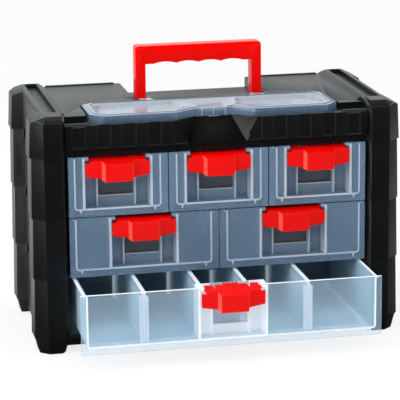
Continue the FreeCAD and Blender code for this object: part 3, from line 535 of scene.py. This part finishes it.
def clear_finish(name):
    """A clear moulding: glassy where it faces the eye, denser where it is seen along its surface."""
    if name in bpy.data.materials:
        return bpy.data.materials[name]
    colour, rough, thin, thick, paler, glow, gloss = CLEAR_FINISHES[name]
    base = getattr(colours(), colour)
    material, tree, shader = new_material(name)
    grain = placed_group(tree, "moulded_grain", Grain_Scale=420.0, Cloud_Scale=22.0)
    light = scaled(base, paler)
    tree.links.new(blended(tree, grain.outputs["Cloud"], tuple(base), light), shader.inputs["Base Color"])
    finish_surface(tree, shader, grain, rough=(rough * 0.8, rough * 1.25))
    facing = add_node(tree, "LayerWeight", Blend=0.3)
    tree.links.new(spread(tree, facing.outputs["Facing"], thin, thick), shader.inputs["Alpha"])
    set_shine(shader, 1.49, gloss)
    # A glow in its own paler colour, for the finishes that have one: painted light.
    shader.inputs["Emission Color"].default_value = light
    shader.inputs["Emission Strength"].default_value = glow
    return material


def mesh_object(name, mesh, *materials):
    obj = bpy.data.objects.new(name, mesh)
    bpy.context.scene.collection.objects.link(obj)
    for material in materials:
        mesh.materials.append(material)
    return obj


def join_flats(work, degrees):
    """Makes each flat face whole, then splits the ones with an inward corner, which don't round well."""
    bmesh.ops.remove_doubles(work, verts=work.verts, dist=WELD)
    bmesh.ops.dissolve_limit(work, angle_limit=math.radians(degrees), verts=work.verts, edges=work.edges)
    bmesh.ops.connect_verts_concave(work, faces=work.faces)


def solid_copy(node, name, *materials):
    """A new mesh with a node's surface, its flat faces whole again instead of cut in triangles."""
    work = bmesh.new()
    work.from_mesh(NODES[node].data)
    join_flats(work, COPY_FLATNESS)
    for face in work.faces:
        face.material_index = 0
    return mesh_from(name, work, *materials)


def tidy_faces(obj):
    """Joins what a boolean has cut a flat face into, so that only true edges are rounded."""
    work = bmesh.new()
    work.from_mesh(obj.data)
    join_flats(work, BOOLEAN_FLATNESS)
    work.to_mesh(obj.data)
    work.free()
    smooth_shaded(obj)


def smooth_shaded(obj):
    for polygon in obj.data.polygons:
        polygon.use_smooth = True


def soften(obj, width, segments=2, material=-1):
    """Rounds the sharp edges, which may get a material of their own, and keeps the flats flat."""
    bevel = obj.modifiers.new("rounding", "BEVEL")
    bevel.width = width
    bevel.segments = segments
    bevel.limit_method = "ANGLE"
    bevel.angle_limit = math.radians(SHARP)
    bevel.use_clamp_overlap = True
    bevel.harden_normals = True
    bevel.miter_outer = "MITER_ARC"
    bevel.material = material
    return obj


def mesh_from(name, work, *materials):
    """Turns a bmesh into an object."""
    bmesh.ops.recalc_face_normals(work, faces=work.faces)
    for face in work.faces:
        face.smooth = True
    mesh = bpy.data.meshes.new(name)
    work.to_mesh(mesh)
    work.free()
    return mesh_object(name, mesh, *materials)


def hull(work, points):
    """Adds the convex solid around some points to a bmesh, its flat faces whole."""
    verts = [work.verts.new(Vector(point) * MM) for point in points]
    result = bmesh.ops.convex_hull(work, input=verts)
    faces = [item for item in result["geom"] if isinstance(item, bmesh.types.BMFace)]
    edges = list({edge for face in faces for edge in face.edges})
    corners = list({vert for face in faces for vert in face.verts})
    bmesh.ops.dissolve_limit(work, angle_limit=math.radians(HULL_FLATNESS), verts=corners, edges=edges)


def block(work, x, y, z):
    """Adds a box between pairs of coordinates."""
    hull(work, [(a, b, c) for a in x for b in y for c in z])


def frustum(work, lower, low, upper, high):
    """Adds a solid between two convex outlines at two heights."""
    hull(work, [(x, y, low) for x, y in lower] + [(x, y, high) for x, y in upper])


def prism(work, outline, low, high, plane="XY"):
    """Adds an outline drawn on a plane and carried from low to high."""
    def point(u, v, w):
        return Vector({"XY": (u, v, w), "XZ": (u, w, v), "YZ": (w, u, v)}[plane]) * MM
    lower = [work.verts.new(point(u, v, low)) for u, v in outline]
    upper = [work.verts.new(point(u, v, high)) for u, v in outline]
    work.faces.new(lower)
    work.faces.new(upper)
    count = len(outline)
    for index in range(count):
        following = (index + 1) % count
        work.faces.new((lower[index], lower[following], upper[following], upper[index]))


def applied(obj):
    """Gives the object its evaluated mesh and drops its modifiers."""
    seen = bpy.context.evaluated_depsgraph_get()
    mesh = bpy.data.meshes.new_from_object(obj.evaluated_get(seen))
    old = obj.data
    obj.modifiers.clear()
    obj.data = mesh
    bpy.data.meshes.remove(old)


def combine(obj, tools, operation):
    """Joins other solids to an object or cuts them out of it; the tools are used up."""
    for tool in tools:
        modifier = obj.modifiers.new("combine", "BOOLEAN")
        modifier.operation = operation
        modifier.object = tool
        modifier.solver = "EXACT"
    applied(obj)
    for tool in tools:
        mesh = tool.data
        bpy.data.objects.remove(tool)
        bpy.data.meshes.remove(mesh)
    smooth_shaded(obj)


def tool_from(maker, *arguments):
    """A throw-away solid for combine."""
    work = bmesh.new()
    maker(work, *arguments)
    return mesh_from("tool", work)


def finish_piece(obj, body, slot, *nodes):
    """Hands a piece over: what it rides on and the nodes it stands for; the finish's slot is not used."""
    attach(obj, body)
    if nodes:
        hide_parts(*nodes)


def span(node):
    """The lowest and highest corner of a node."""
    low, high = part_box(node)
    return Vector(low) / MM, Vector(high) / MM


def mirrored(points):
    """The points of a right half, followed by their mirror images."""
    return points + [(-x, z) for x, z in reversed(points)]


def shifted(points, middle, rise=0):
    return [(x + middle, z + rise) for x, z in points]


def on_both_sides(points):
    """Points in space with their mirror images across the cabinet's middle."""
    return [(side * x, y, z) for side in SIDES for x, y, z in points]


def drawn_out(profile, x):
    """The corners of a profile of (y, z) carried between two places across."""
    return [(end, y, z) for end in x for y, z in profile]


def both_sides(work, middle, x, y, z):
    """Adds a box and its mirror image across the plane of the middle."""
    block(work, (middle + x[0], middle + x[1]), y, z)
    block(work, (middle - x[1], middle - x[0]), y, z)


def arc(centre, radius, first, last, steps):
    """Points on a circle between two angles in degrees, measured from straight down towards +X."""
    points = []
    for step in range(steps + 1):
        angle = math.radians(first + (last - first) * step / steps)
        points.append((centre[0] + radius * math.sin(angle), centre[1] - radius * math.cos(angle)))
    return points


def label(work, index):
    """Gives the faces added since the last call a material, counted from one so that new faces stand out."""
    for face in work.faces:
        if face.material_index == 0:
            face.material_index = index + 1


def drawer_piece(node):
    """A drawer: front plate, tray with rounded lower corners, latch bay, side rims and runners."""
    low, high = span(node)
    drawn = node == "drawer_wide"
    wall = sizes().wall / MM
    middle = (low.x + high.x) / 2
    half = (high.x - low.x) / 2
    front, back = low.y, high.y
    base, top = low.z, high.z
    behind = front + sizes().plate / MM
    line = front - LINE_RISE
    side = half - SIDE_INSET
    floor = base + FLOOR_RISE
    rim = top - RIM_DROP
    bay_back = front + BAY_DEPTH
    inside = (floor + BITE, rim)
    body, edge, bay, window = range(4)
    work = bmesh.new()

    ends = [half + (PLATE_OVER_GAP if abs(middle + turned * half) < CASE_OPENING else PLATE_OFF_CASE)
            for turned in SIDES]
    plate = [(BAY_HALF, floor), (BAY_HALF, top), (ends[1], top), (ends[1], base),
             (-ends[0], base), (-ends[0], top), (-BAY_HALF, top), (-BAY_HALF, floor)]
    prism(work, shifted(plate, middle), front, behind, "XZ")
    turn = (side - CORNER, floor + CORNER)
    outer = arc(turn, CORNER, 0, 90, CORNER_STEPS)

    def channel(thickness):
        inner = arc(turn, CORNER - thickness, 0, 90, CORNER_STEPS)
        section = outer + [(side, rim), (side - thickness, rim)] + inner[::-1]
        return shifted(mirrored(section), middle)

    prism(work, channel(wall), behind - 0.5, back - wall, "XZ")
    closed = mirrored(outer + [(side, rim)])
    prism(work, shifted(closed, middle), back - wall - BITE, back, "XZ")
    if high.x - low.x < NARROW_DRAWER:
        for turned, end in zip(SIDES, ends):
            margin = sorted((middle + turned * (side + 0.3), middle + turned * (end - 0.3)))
            block(work, margin, (front - 0.06, behind - 0.3), (base + 0.3, top - 0.3))
    label(work, body)

    block(work, (middle - BAY_HALF, middle + BAY_HALF), (bay_back, bay_back + wall), inside)
    label(work, window)

    between_ribs = (middle - RIB_PLACE, middle + RIB_PLACE)
    both_sides(work, middle, (RIB_PLACE + 1.6, BAY_HALF), (bay_back - 1.6, bay_back + 0.2), inside)
    block(work, between_ribs, (bay_back - 3, bay_back - 1.8), (floor + BITE, base + BAR_PLACE))
    both_sides(work, middle, (BRACKET_IN, BAY_HALF + 0.3), (front + 0.2, front + BRACKET_DEPTH),
               (base + BRACKET_BASE, top - 0.3))
    label(work, bay)

    prism(work, channel(wall + 0.5), line, behind - BITE, "XZ")
    both_sides(work, middle, (side - BITE, side + SIDE_RIM), (behind - BITE, back), (rim - 1.6, rim))
    both_sides(work, middle, (BAY_HALF, BAY_HALF + BAY_WALL), (line, bay_back + wall), inside)
    if drawn:
        for near, far in ((-ends[0], -BAY_HALF), (BAY_HALF, ends[1])):
            block(work, (middle + near - SKIN_RISE, middle + far + SKIN_RISE),
                  (front - SKIN_RISE, behind + SKIN_RISE), (top - 0.7, top + SKIN_RISE))
    both_sides(work, middle, (RIB_PLACE, RIB_PLACE + RIB_THICK), (bay_back - RIB_REACH, bay_back + BITE),
               (floor + BITE, base + RIB_TOP))
    block(work, between_ribs, (bay_back - 3.6, bay_back - 1.2),
          (base + BAR_PLACE - BAR_HALF, base + BAR_PLACE + BAR_HALF))
    for turned in SIDES:
        runner = shifted(RUNNER, middle + turned * (side - RUNNER_PLACE), floor)
        prism(work, runner, line, back - 1, "XZ")
    label(work, edge)

    for face in work.faces:
        face.material_index -= 1
    # The closed drawers' edge, bay-side and bay-window finishes are painted light and painted shade; the
    # drawn drawer's are paler copies, painted light, with a painted glow on the milky ones.
    kinds = ("_lit", "_milky", "_milky", "_lit_window") if drawn else ("", "_edge", "_cheek", "_window")
    finishes = [clear_finish("clear_moulding" + kind) for kind in kinds]
    return mesh_from(node.replace("drawer", "clear_drawer"), work, *finishes)


def groove_posts(drawer):
    """The pale posts of the wide drawer that hold its dividers, as one mesh."""
    work = bmesh.new()
    low, high = span(drawer)
    foot, top = low.z + POST_BASE, high.z - DIVIDER_STEP
    for number in DIVIDERS:
        near, far = span("wide_drawer_divider_%d" % number)
        middle = (near.x + far.x) / 2
        for first, last in POSTS:
            ends = (middle + first, middle + last)
            block(work, ends, (near.y - 0.7, near.y + 5), (foot, top + 1.5))
            block(work, ends, (far.y - 5, far.y + 0.7), (foot, top))
    return mesh_from("divider_posts", work, clear_finish("clear_moulding_milky"))


def divider_piece(number):
    """A divider: a narrow trough turned over, its front end stepped down behind the drawer's rim."""
    low, high = span("wide_drawer_divider_%d" % number)
    side = [
        (low.y, low.z), (low.y, high.z - DIVIDER_STEP + 2), (low.y + 1.5, high.z - 1.5),
        (low.y + 3, high.z), (high.y, high.z), (high.y, low.z),
    ]
    work = bmesh.new()
    prism(work, side, low.x, high.x, "YZ")
    obj = mesh_from("divider_%d" % number, work,
                    clear_finish("clear_moulding_lit"), clear_finish("clear_moulding_milky"))
    hollow = tool_from(
        block, (low.x + DIVIDER_WALL, high.x - DIVIDER_WALL), (low.y + DIVIDER_WALL, high.y - DIVIDER_WALL),
        (low.z - 1, high.z - DIVIDER_STEP - DIVIDER_WALL))
    combine(obj, [hollow], "DIFFERENCE")
    # Tops and ends take the milky finish, partly painted light, with its painted glow.
    for polygon in obj.data.polygons:
        if polygon.normal.z > 0.3 or abs(polygon.normal.y) > 0.9:
            polygon.material_index = 1
    return obj


def slope(y):
    """The height above the seam of the latch's sloping top, at a distance behind the plate's front."""
    return NOSE_TOP + (y - NOSE_FRONT) * SLAB_SLOPE


def slab(work, outline, thickness):
    """Adds a plate under the latch's sloping top; the outline is (x, y) and convex."""
    hull(work, [(x, y, slope(y) - drop) for x, y in outline for drop in (0, thickness)])


def latch_parts():
    """The solids that make up one latch, drawn about the plate's front and the storey's seam."""
    parts = []

    def add(maker, *arguments):
        parts.append(tool_from(maker, *arguments))

    for turned in SIDES:
        points = []
        for y, rise in WING_LAYERS:
            points += [(turned * x, y, z + (rise if index < 2 else 0)) for index, (x, z) in enumerate(WING)]
        add(hull, points)
        add(slab, [(turned * x, y) for x, y in EAR], EAR_THICK)
        add(prism, arc(PIN_CENTRE, PIN_RADIUS, 0, 330, 11), *sorted(turned * x for x in PIN_REACH), "YZ")
    add(hull, on_both_sides([(14.7, NOSE_FRONT, 39.6), (14.7, NOSE_FRONT, NOSE_TOP)])
        + on_both_sides([(17.2, NOSE_ROOT, 40.2), (17.2, NOSE_ROOT, slope(NOSE_ROOT))]))
    add(slab, TOP_SLAB, SLAB_THICK)
    add(hull, drawn_out(COMB_PROFILE, (-COMB_HALF, COMB_HALF)))
    count = sizes().comb_teeth
    for step in range(count):
        x = (step / (count - 1) - 0.5) * 2 * (COMB_HALF - TOOTH_HALF)
        add(block, (x - TOOTH_HALF, x + TOOTH_HALF), (11.2, 16.4), (62.8, 65.6))
    return parts


def latch_mesh():
    """One latch as a single solid with rounded edges, the flanks of its nose in a paler finish of their own,
    a painted highlight.
    """
    obj, *others = latch_parts()
    combine(obj, others, "UNION")
    tidy_faces(obj)
    soften(obj, sizes().latch_rounding)
    applied(obj)
    mesh = obj.data
    for polygon in mesh.polygons:
        middle = polygon.center / MM
        # The flanks of the nose get the second, paler red: a painted highlight.
        if abs(polygon.normal.x) > 0.5 and middle.y < WING_FRONT and abs(middle.x) < FLANK_END:
            polygon.material_index = 1
    bpy.data.objects.remove(obj)
    return mesh


def lid_outline(grow):
    """The lid in plan: a long octagon with a notch in its front edge, grown all round."""
    right = [
        (21 - 0.31 * grow, -72 - grow), (42 - 0.31 * grow, -87 - grow), (122.5 + 0.41 * grow, -87 - grow),
        (135.5 + grow, -74 - 0.41 * grow), (135.5 + grow, -25 + 0.3 * grow), (126 + 0.57 * grow, -10 + grow),
    ]
    return mirrored(right)


def lid_panel(turned, inset):
    """A long octagon for one of the two panels sunk into the lid, drawn in from its edge."""
    near, far, low, cut = 30 + inset, 127 - inset, -78 + inset, 9 - inset * 0.4
    high = LID_PANEL_BACK - inset
    points = [
        (near + 5, high), (near, high - cut), (near + 1, low + 19), (near + 14, low), (far - cut, low),
        (far, low + cut), (far, high - cut), (far - cut, high),
    ]
    return [(turned * x, y) for x, y in points]


def lid_piece():
    """The lid: stepped border, two sunk panels, a slope over the notch and posts in its front."""
    low, high = span("tray_lid")
    base, top = low.z + LID_TAB, high.z
    obj = solid_copy("tray_lid", "clear_lid", clear_finish("lid_moulding_sides"),
                     clear_finish("clear_moulding_edge"), clear_finish("lid_moulding_top"))
    blocks = []
    for side in SIDES:
        lining = lid_panel(side, 1.5)
        blocks.append(tool_from(frustum, lining, top - PANEL_LINING, lining, top - PANEL_COVER))
    blocks.append(tool_from(block, (-17, 17), (-71, -34), (top - 5.6, top - PANEL_COVER)))
    combine(obj, blocks, "UNION")
    border = tool_from(prism, lid_outline(4), top - LID_STEP, top + 2)
    combine(border, [tool_from(prism, lid_outline(-4.5), top - 3, top + 4)], "DIFFERENCE")
    cuts = [border, tool_from(prism, lid_outline(-8), top - LID_STEP, top + 2)]
    for side in SIDES:
        cuts.append(tool_from(frustum, lid_panel(side, 6), top - PANEL_SINK, lid_panel(side, 1.8), top + 0.2))
    cuts.append(tool_from(hull, on_both_sides([(x, y, top + z) for x, y, z in NOTCH_SLOPE])))
    for start, end in BACK_STRETCHES:
        cuts.append(tool_from(prism, shifted(BACK_CHAMFER, 0, top), start, end, "YZ"))
    combine(obj, cuts, "DIFFERENCE")
    posts = [tool_from(block, (x - 0.8, x + 0.8), (-72.5, -70), (base + 0.2, top - 1.2)) for x in LID_POSTS]
    combine(obj, posts, "UNION")
    tidy_faces(obj)
    # Faces that look up, and the front posts, take the top's paler finish, a painted reflection of the sky;
    # the snap tab takes the paler edge finish, painted light.
    for polygon in obj.data.polygons:
        middle = polygon.center / MM
        front_posts = middle.y < LID_FRONT and abs(middle.x) < 15
        snap_tab = middle.z < base and abs(middle.x) < 7 and middle.y < -60
        if polygon.normal.z > 0.4 or front_posts:
            polygon.material_index = 2
        elif snap_tab:
            polygon.material_index = 1
    return obj


def cap_trim():
    """What the cap gets on top: steep ridge ends, deck corners, rear rims and slanted flute edges."""
    work = bmesh.new()
    crest = list(CREST) + [(x, y, CREST_FOOT) for x, y, z in CREST if z < 255]
    lip = drawn_out(FRONT_LIP, (137, 164.8))
    rim = drawn_out(REAR_RIM, (80, 158))
    for side in SIDES:
        hull(work, [(side * x, y, z) for x, y, z in crest])
        block(work, (side * 138.6, side * 165), (-75, -64), (244.5, 254.55))
        hull(work, [(side * x, y, z) for x, y, z in lip])
        hull(work, [(side * x, y, z) for x, y, z in rim])
    for index in FLUTES:
        edge = FLUTE_PITCH * (index + 0.5) + FLUTE_SHIFT
        if FINGER_RECESS < abs(edge) and edge < CASE_OPENING:
            prism(work, shifted(FLUTE_EDGE, edge), *FLUTE_SPAN)
    return mesh_from("cap_trim", work, black_plastic())


def finger_lining():
    """Coarse facings on the back and the left side of the finger recess."""
    work = bmesh.new()
    hull(work, on_both_sides(RECESS_BACK))
    hull(work, RECESS_LEFT)
    return mesh_from("finger_lining", work, black_matt())


def handle_piece():
    """The carrying handle, with pads on the fronts of its legs."""
    obj = solid_copy("carry_handle", "red_handle", red_handle())
    low, high = span("carry_handle")
    faces, heights = (low.y - LEG_PAD, low.y + 2), (low.z + 9, high.z - 3)
    pads = [tool_from(block, sorted(side * x for x in LEG), faces, heights) for side in SIDES]
    combine(obj, pads, "UNION")
    tidy_faces(obj)
    return obj


def grip_hatch():
    """Small slanted ribs on the front of the handle, at both ends of the bar."""
    low, high = span("carry_handle")
    work = bmesh.new()
    for side in SIDES:
        for step in range(HATCH_RIBS):
            rib = shifted(HATCH_RIB, side * HATCH_PLACE, high.z - HATCH_DROP + HATCH_PITCH * step)
            prism(work, rib, low.y - LEG_PAD - 0.35, low.y - 0.7, "XZ")
    return mesh_from("grip_hatch", work, red_handle())


class CABINET_OT_case(bpy.types.Operator):
    """Builds the black mouldings: base, three storeys and the cap"""

    bl_idname = "cabinet.case"
    bl_label = "Case"

    def execute(self, context):
        rounding = sizes().case_rounding
        for node in ("base_frame", "row_module_bottom", "row_module_middle", "row_module_top", "top_module"):
            obj = solid_copy(node, node.replace("row_module", "case_storey"), black_plastic())
            finish_piece(soften(obj, rounding), "housing", "black_plastic", node)
        finish_piece(soften(cap_trim(), rounding * 0.5), "housing", "black_plastic")
        finish_piece(finger_lining(), "housing", "black_plastic")
        return {"FINISHED"}


class CABINET_OT_fixings(bpy.types.Operator):
    """Finishes the clips across the seams and the hinge pins"""

    bl_idname = "cabinet.fixings"
    bl_label = "Clips and pins"

    def execute(self, context):
        for node in ("module_clips", "lid_hinge_pins", "handle_pivot_pins"):
            NODES[node].data.materials.clear()
            NODES[node].data.materials.append(black_plastic())
        return {"FINISHED"}


class CABINET_OT_drawers(bpy.types.Operator):
    """Builds the six clear drawers and the four dividers of the wide one"""

    bl_idname = "cabinet.drawers"
    bl_label = "Drawers"

    def execute(self, context):
        rounding = sizes().clear_rounding
        for place in PLACES:
            node = "drawer_" + place
            obj = soften(drawer_piece(node), rounding, segments=1)
            finish_piece(obj, node + "_body", "clear_blue_plastic", node)
        posts = soften(groove_posts("drawer_wide"), rounding, segments=1)
        finish_piece(posts, "drawer_wide_body", "clear_blue_plastic")
        for number in DIVIDERS:
            obj = soften(divider_piece(number), rounding, segments=1, material=1)
            finish_piece(obj, "drawer_wide_body", "clear_blue_plastic", "wide_drawer_divider_%d" % number)
        return {"FINISHED"}


class CABINET_OT_latches(bpy.types.Operator):
    """Builds the six red latches"""

    bl_idname = "cabinet.latches"
    bl_label = "Latches"

    def execute(self, context):
        pattern = latch_mesh()
        red = red_material("red_moulding", colours().red, gloss=0.22)
        # The second red is the paler one for the nose's flanks, a painted highlight.
        flank = red_material("red_moulding_flank", colours().red_flank, gloss=0.28)
        for place in PLACES:
            node = "latch_" + place
            low, high = span("drawer_" + place)
            mesh = pattern.copy()
            seat = Vector(((low.x + high.x) / 2, low.y, low.z - SEAM_DROP))
            mesh.transform(Matrix.Translation(seat * MM))
            obj = mesh_object("red_" + node, mesh, red, flank)
            finish_piece(obj, node + "_body", "red_plastic", node)
        bpy.data.meshes.remove(pattern)
        return {"FINISHED"}


class CABINET_OT_tray_and_lid(bpy.types.Operator):
    """Builds the parts tray and the clear lid over it"""

    bl_idname = "cabinet.tray_and_lid"
    bl_label = "Tray and lid"

    def execute(self, context):
        rounding = sizes().clear_rounding
        tray = solid_copy("parts_tray", "tray_insert", clear_finish("clear_moulding"))
        finish_piece(soften(tray, rounding, segments=1), "housing", "clear_blue_plastic", "parts_tray")
        # The lid's rounded edges take the paler edge finish, painted light.
        lid = soften(lid_piece(), rounding, segments=1, material=1)
        finish_piece(lid, "lid", "clear_blue_plastic", "tray_lid")
        return {"FINISHED"}


class CABINET_OT_handle(bpy.types.Operator):
    """Builds the red carrying handle"""

    bl_idname = "cabinet.handle"
    bl_label = "Handle"

    def execute(self, context):
        obj = soften(handle_piece(), sizes().handle_rounding, segments=4)
        finish_piece(obj, "handle", "red_plastic", "carry_handle")
        finish_piece(grip_hatch(), "handle", "red_plastic")
        return {"FINISHED"}


class CABINET_OT_stage(bpy.types.Operator):
    """Sets the floor, the backdrop, the lights and the camera"""

    bl_idname = "cabinet.stage"
    bl_label = "Stage"

    def execute(self, context):
        stage = context.scene.cabinet_stage
        set_camera(stage)
        set_floor()
        set_world(stage.sky)
        set_lamps(stage)
        context.scene.view_settings.view_transform = "Standard"
        return {"FINISHED"}


def set_camera(stage):
    turn, rise, roll = stage.azimuth, stage.elevation, stage.roll
    back = Vector((math.sin(turn) * math.cos(rise), -math.cos(turn) * math.cos(rise), math.sin(rise)))
    right = (-back).cross(Vector((0, 0, 1))).normalized()
    up = right.cross(-back)
    across = right * math.cos(roll) + up * math.sin(roll)
    upward = up * math.cos(roll) - right * math.sin(roll)
    target = Vector((0, 0, AIM_HEIGHT)) + across * AIM_ACROSS + upward * AIM_UP
    camera = bpy.data.objects.new("camera", bpy.data.cameras.new("camera"))
    bpy.context.scene.collection.objects.link(camera)
    camera.data.lens = stage.lens
    camera.data.sensor_width = 36
    axes = Matrix((across, upward, back)).transposed().to_4x4()
    camera.matrix_world = Matrix.Translation(target + back * stage.distance) @ axes
    bpy.context.scene.camera = camera


def paper_sheet():
    """One wide sheet under the cabinet, bent up in a soft curve far behind it."""
    rows = [(PAPER_FRONT, 0.0), (PAPER_BEND, 0.0)]
    for step in range(1, BEND_STEPS + 1):
        angle = math.radians(step * 90 / BEND_STEPS)
        rows.append((PAPER_BEND + BEND_RADIUS * math.sin(angle), BEND_RADIUS - BEND_RADIUS * math.cos(angle)))
    rows.append((PAPER_BEND + BEND_RADIUS, PAPER_TOP))
    work = bmesh.new()
    verts = [[work.verts.new((x, y, z)) for x in (-PAPER_HALF, PAPER_HALF)] for y, z in rows]
    for lower, upper in zip(verts, verts[1:]):
        work.faces.new((lower[0], lower[1], upper[1], upper[0]))
    return work


def set_floor():
    """The paper: pale, white to the eye, and dark where the plastics would mirror it from the front."""
    material, tree, shader = new_material("floor_paper")
    shade = tuple(colours().floor)
    grain = placed_group(tree, "moulded_grain", Grain_Scale=300.0, Cloud_Scale=2.0)
    paper = blended(tree, grain.outputs["Cloud"], shade, scaled(shade, 1.03))
    path = add_node(tree, "LightPath")
    where = add_node(tree, "SeparateXYZ")
    tree.links.new(add_node(tree, "NewGeometry").outputs["Position"], where.inputs[0])
    behind = spread(tree, where.outputs["Y"], 0.0, 1.0, start=-0.1, end=0.2)
    ahead = math_node(tree, "SUBTRACT", 1.0, behind)
    hidden = math_node(tree, "MULTIPLY", path.outputs["Is Glossy Ray"], ahead)
    tree.links.new(blended(tree, hidden, paper, MIRRORED_FLOOR), shader.inputs["Base Color"])
    shader.inputs["Roughness"].default_value = 0.9
    shader.inputs["Specular IOR Level"].default_value = 0.1
    glow = add_node(tree, "Emission", Color=WHITE, Strength=1.0)
    glossy = math_node(tree, "MULTIPLY", path.outputs["Is Glossy Ray"], behind)
    seen = math_node(tree, "MAXIMUM", glossy, path.outputs["Is Transmission Ray"])
    seen = math_node(tree, "MAXIMUM", seen, path.outputs["Is Camera Ray"])
    distant = spread(tree, where.outputs["Y"], 0.8, 1.0, start=0.5, end=3.0)
    part = math_node(tree, "MULTIPLY", seen, distant)
    mixed_shaders(tree, part, shader.outputs[0], glow.outputs[0], tree.nodes["Material Output"])
    floor = mesh_from("floor", paper_sheet(), material)


def set_world(strength):
    """An even pale sky, dimmer low down in front, and white where it is seen directly."""
    world = bpy.data.worlds.new("sky")
    bpy.context.scene.world = world
    world.use_nodes = True
    tree = world.node_tree
    tree.nodes.clear()
    out = tree.nodes.new("ShaderNodeOutputWorld")
    where = add_node(tree, "SeparateXYZ")
    tree.links.new(add_node(tree, "TexCoord").outputs["Generated"], where.inputs[0])
    lean = math_node(tree, "MULTIPLY", where.outputs["Y"], 0.6)
    height = math_node(tree, "ADD", where.outputs["Z"], lean)
    sky = add_node(tree, "Background", Color=WHITE)
    level = spread(tree, height, strength * 0.12, strength * 1.15, start=-0.5, end=0.4)
    tree.links.new(level, sky.inputs["Strength"])
    white = add_node(tree, "Background", Color=WHITE, Strength=1.0)
    path = add_node(tree, "LightPath")
    seen = math_node(tree, "MAXIMUM", path.outputs["Is Camera Ray"], path.outputs["Is Transmission Ray"])
    mixed_shaders(tree, seen, sky.outputs[0], white.outputs[0], out)


def set_lamps(stage):
    for name, place, target, size in LAMPS:
        data = bpy.data.lights.new("lamp_" + name, "AREA")
        data.shape = "RECTANGLE"
        data.size, data.size_y = size
        data.energy = getattr(stage, name)
        lamp = bpy.data.objects.new("lamp_" + name, data)
        bpy.context.scene.collection.objects.link(lamp)
        lamp.location = place
        lamp.rotation_euler = (Vector(target) - Vector(place)).to_track_quat("-Z", "Y").to_euler()


STEPS = (
    CABINET_OT_case, CABINET_OT_fixings, CABINET_OT_drawers, CABINET_OT_latches,
    CABINET_OT_tray_and_lid, CABINET_OT_handle, CABINET_OT_stage,
)


class CABINET_PT_panel(bpy.types.Panel):
    """Lists the cabinet's settings and steps in the sidebar"""

    bl_label = "Parts cabinet"
    bl_idname = "CABINET_PT_panel"
    bl_space_type = "VIEW_3D"
    bl_region_type = "UI"
    bl_category = "Cabinet"

    def draw(self, context):
        for owner in (sizes(), colours(), context.scene.cabinet_stage):
            box = self.layout.box()
            for key in owner.__annotations__:
                box.prop(owner, key)
        for step in STEPS:
            self.layout.operator(step.bl_idname)


CLASSES = (CabinetSizes, CabinetColours, CabinetStage) + STEPS + (CABINET_PT_panel,)


def register():
    for kind in CLASSES:
        bpy.utils.register_class(kind)
    bpy.types.Scene.cabinet_sizes = PointerProperty(type=CabinetSizes)
    bpy.types.Scene.cabinet_colours = PointerProperty(type=CabinetColours)
    bpy.types.Scene.cabinet_stage = PointerProperty(type=CabinetStage)


def unregister():
    del bpy.types.Scene.cabinet_stage
    del bpy.types.Scene.cabinet_colours
    del bpy.types.Scene.cabinet_sizes
    for kind in reversed(CLASSES):
        bpy.utils.unregister_class(kind)


def main():
    register()
    for step in STEPS:
        group, name = step.bl_idname.split(".")
        getattr(getattr(bpy.ops, group), name)()


if __name__ == "__main__":
    main()
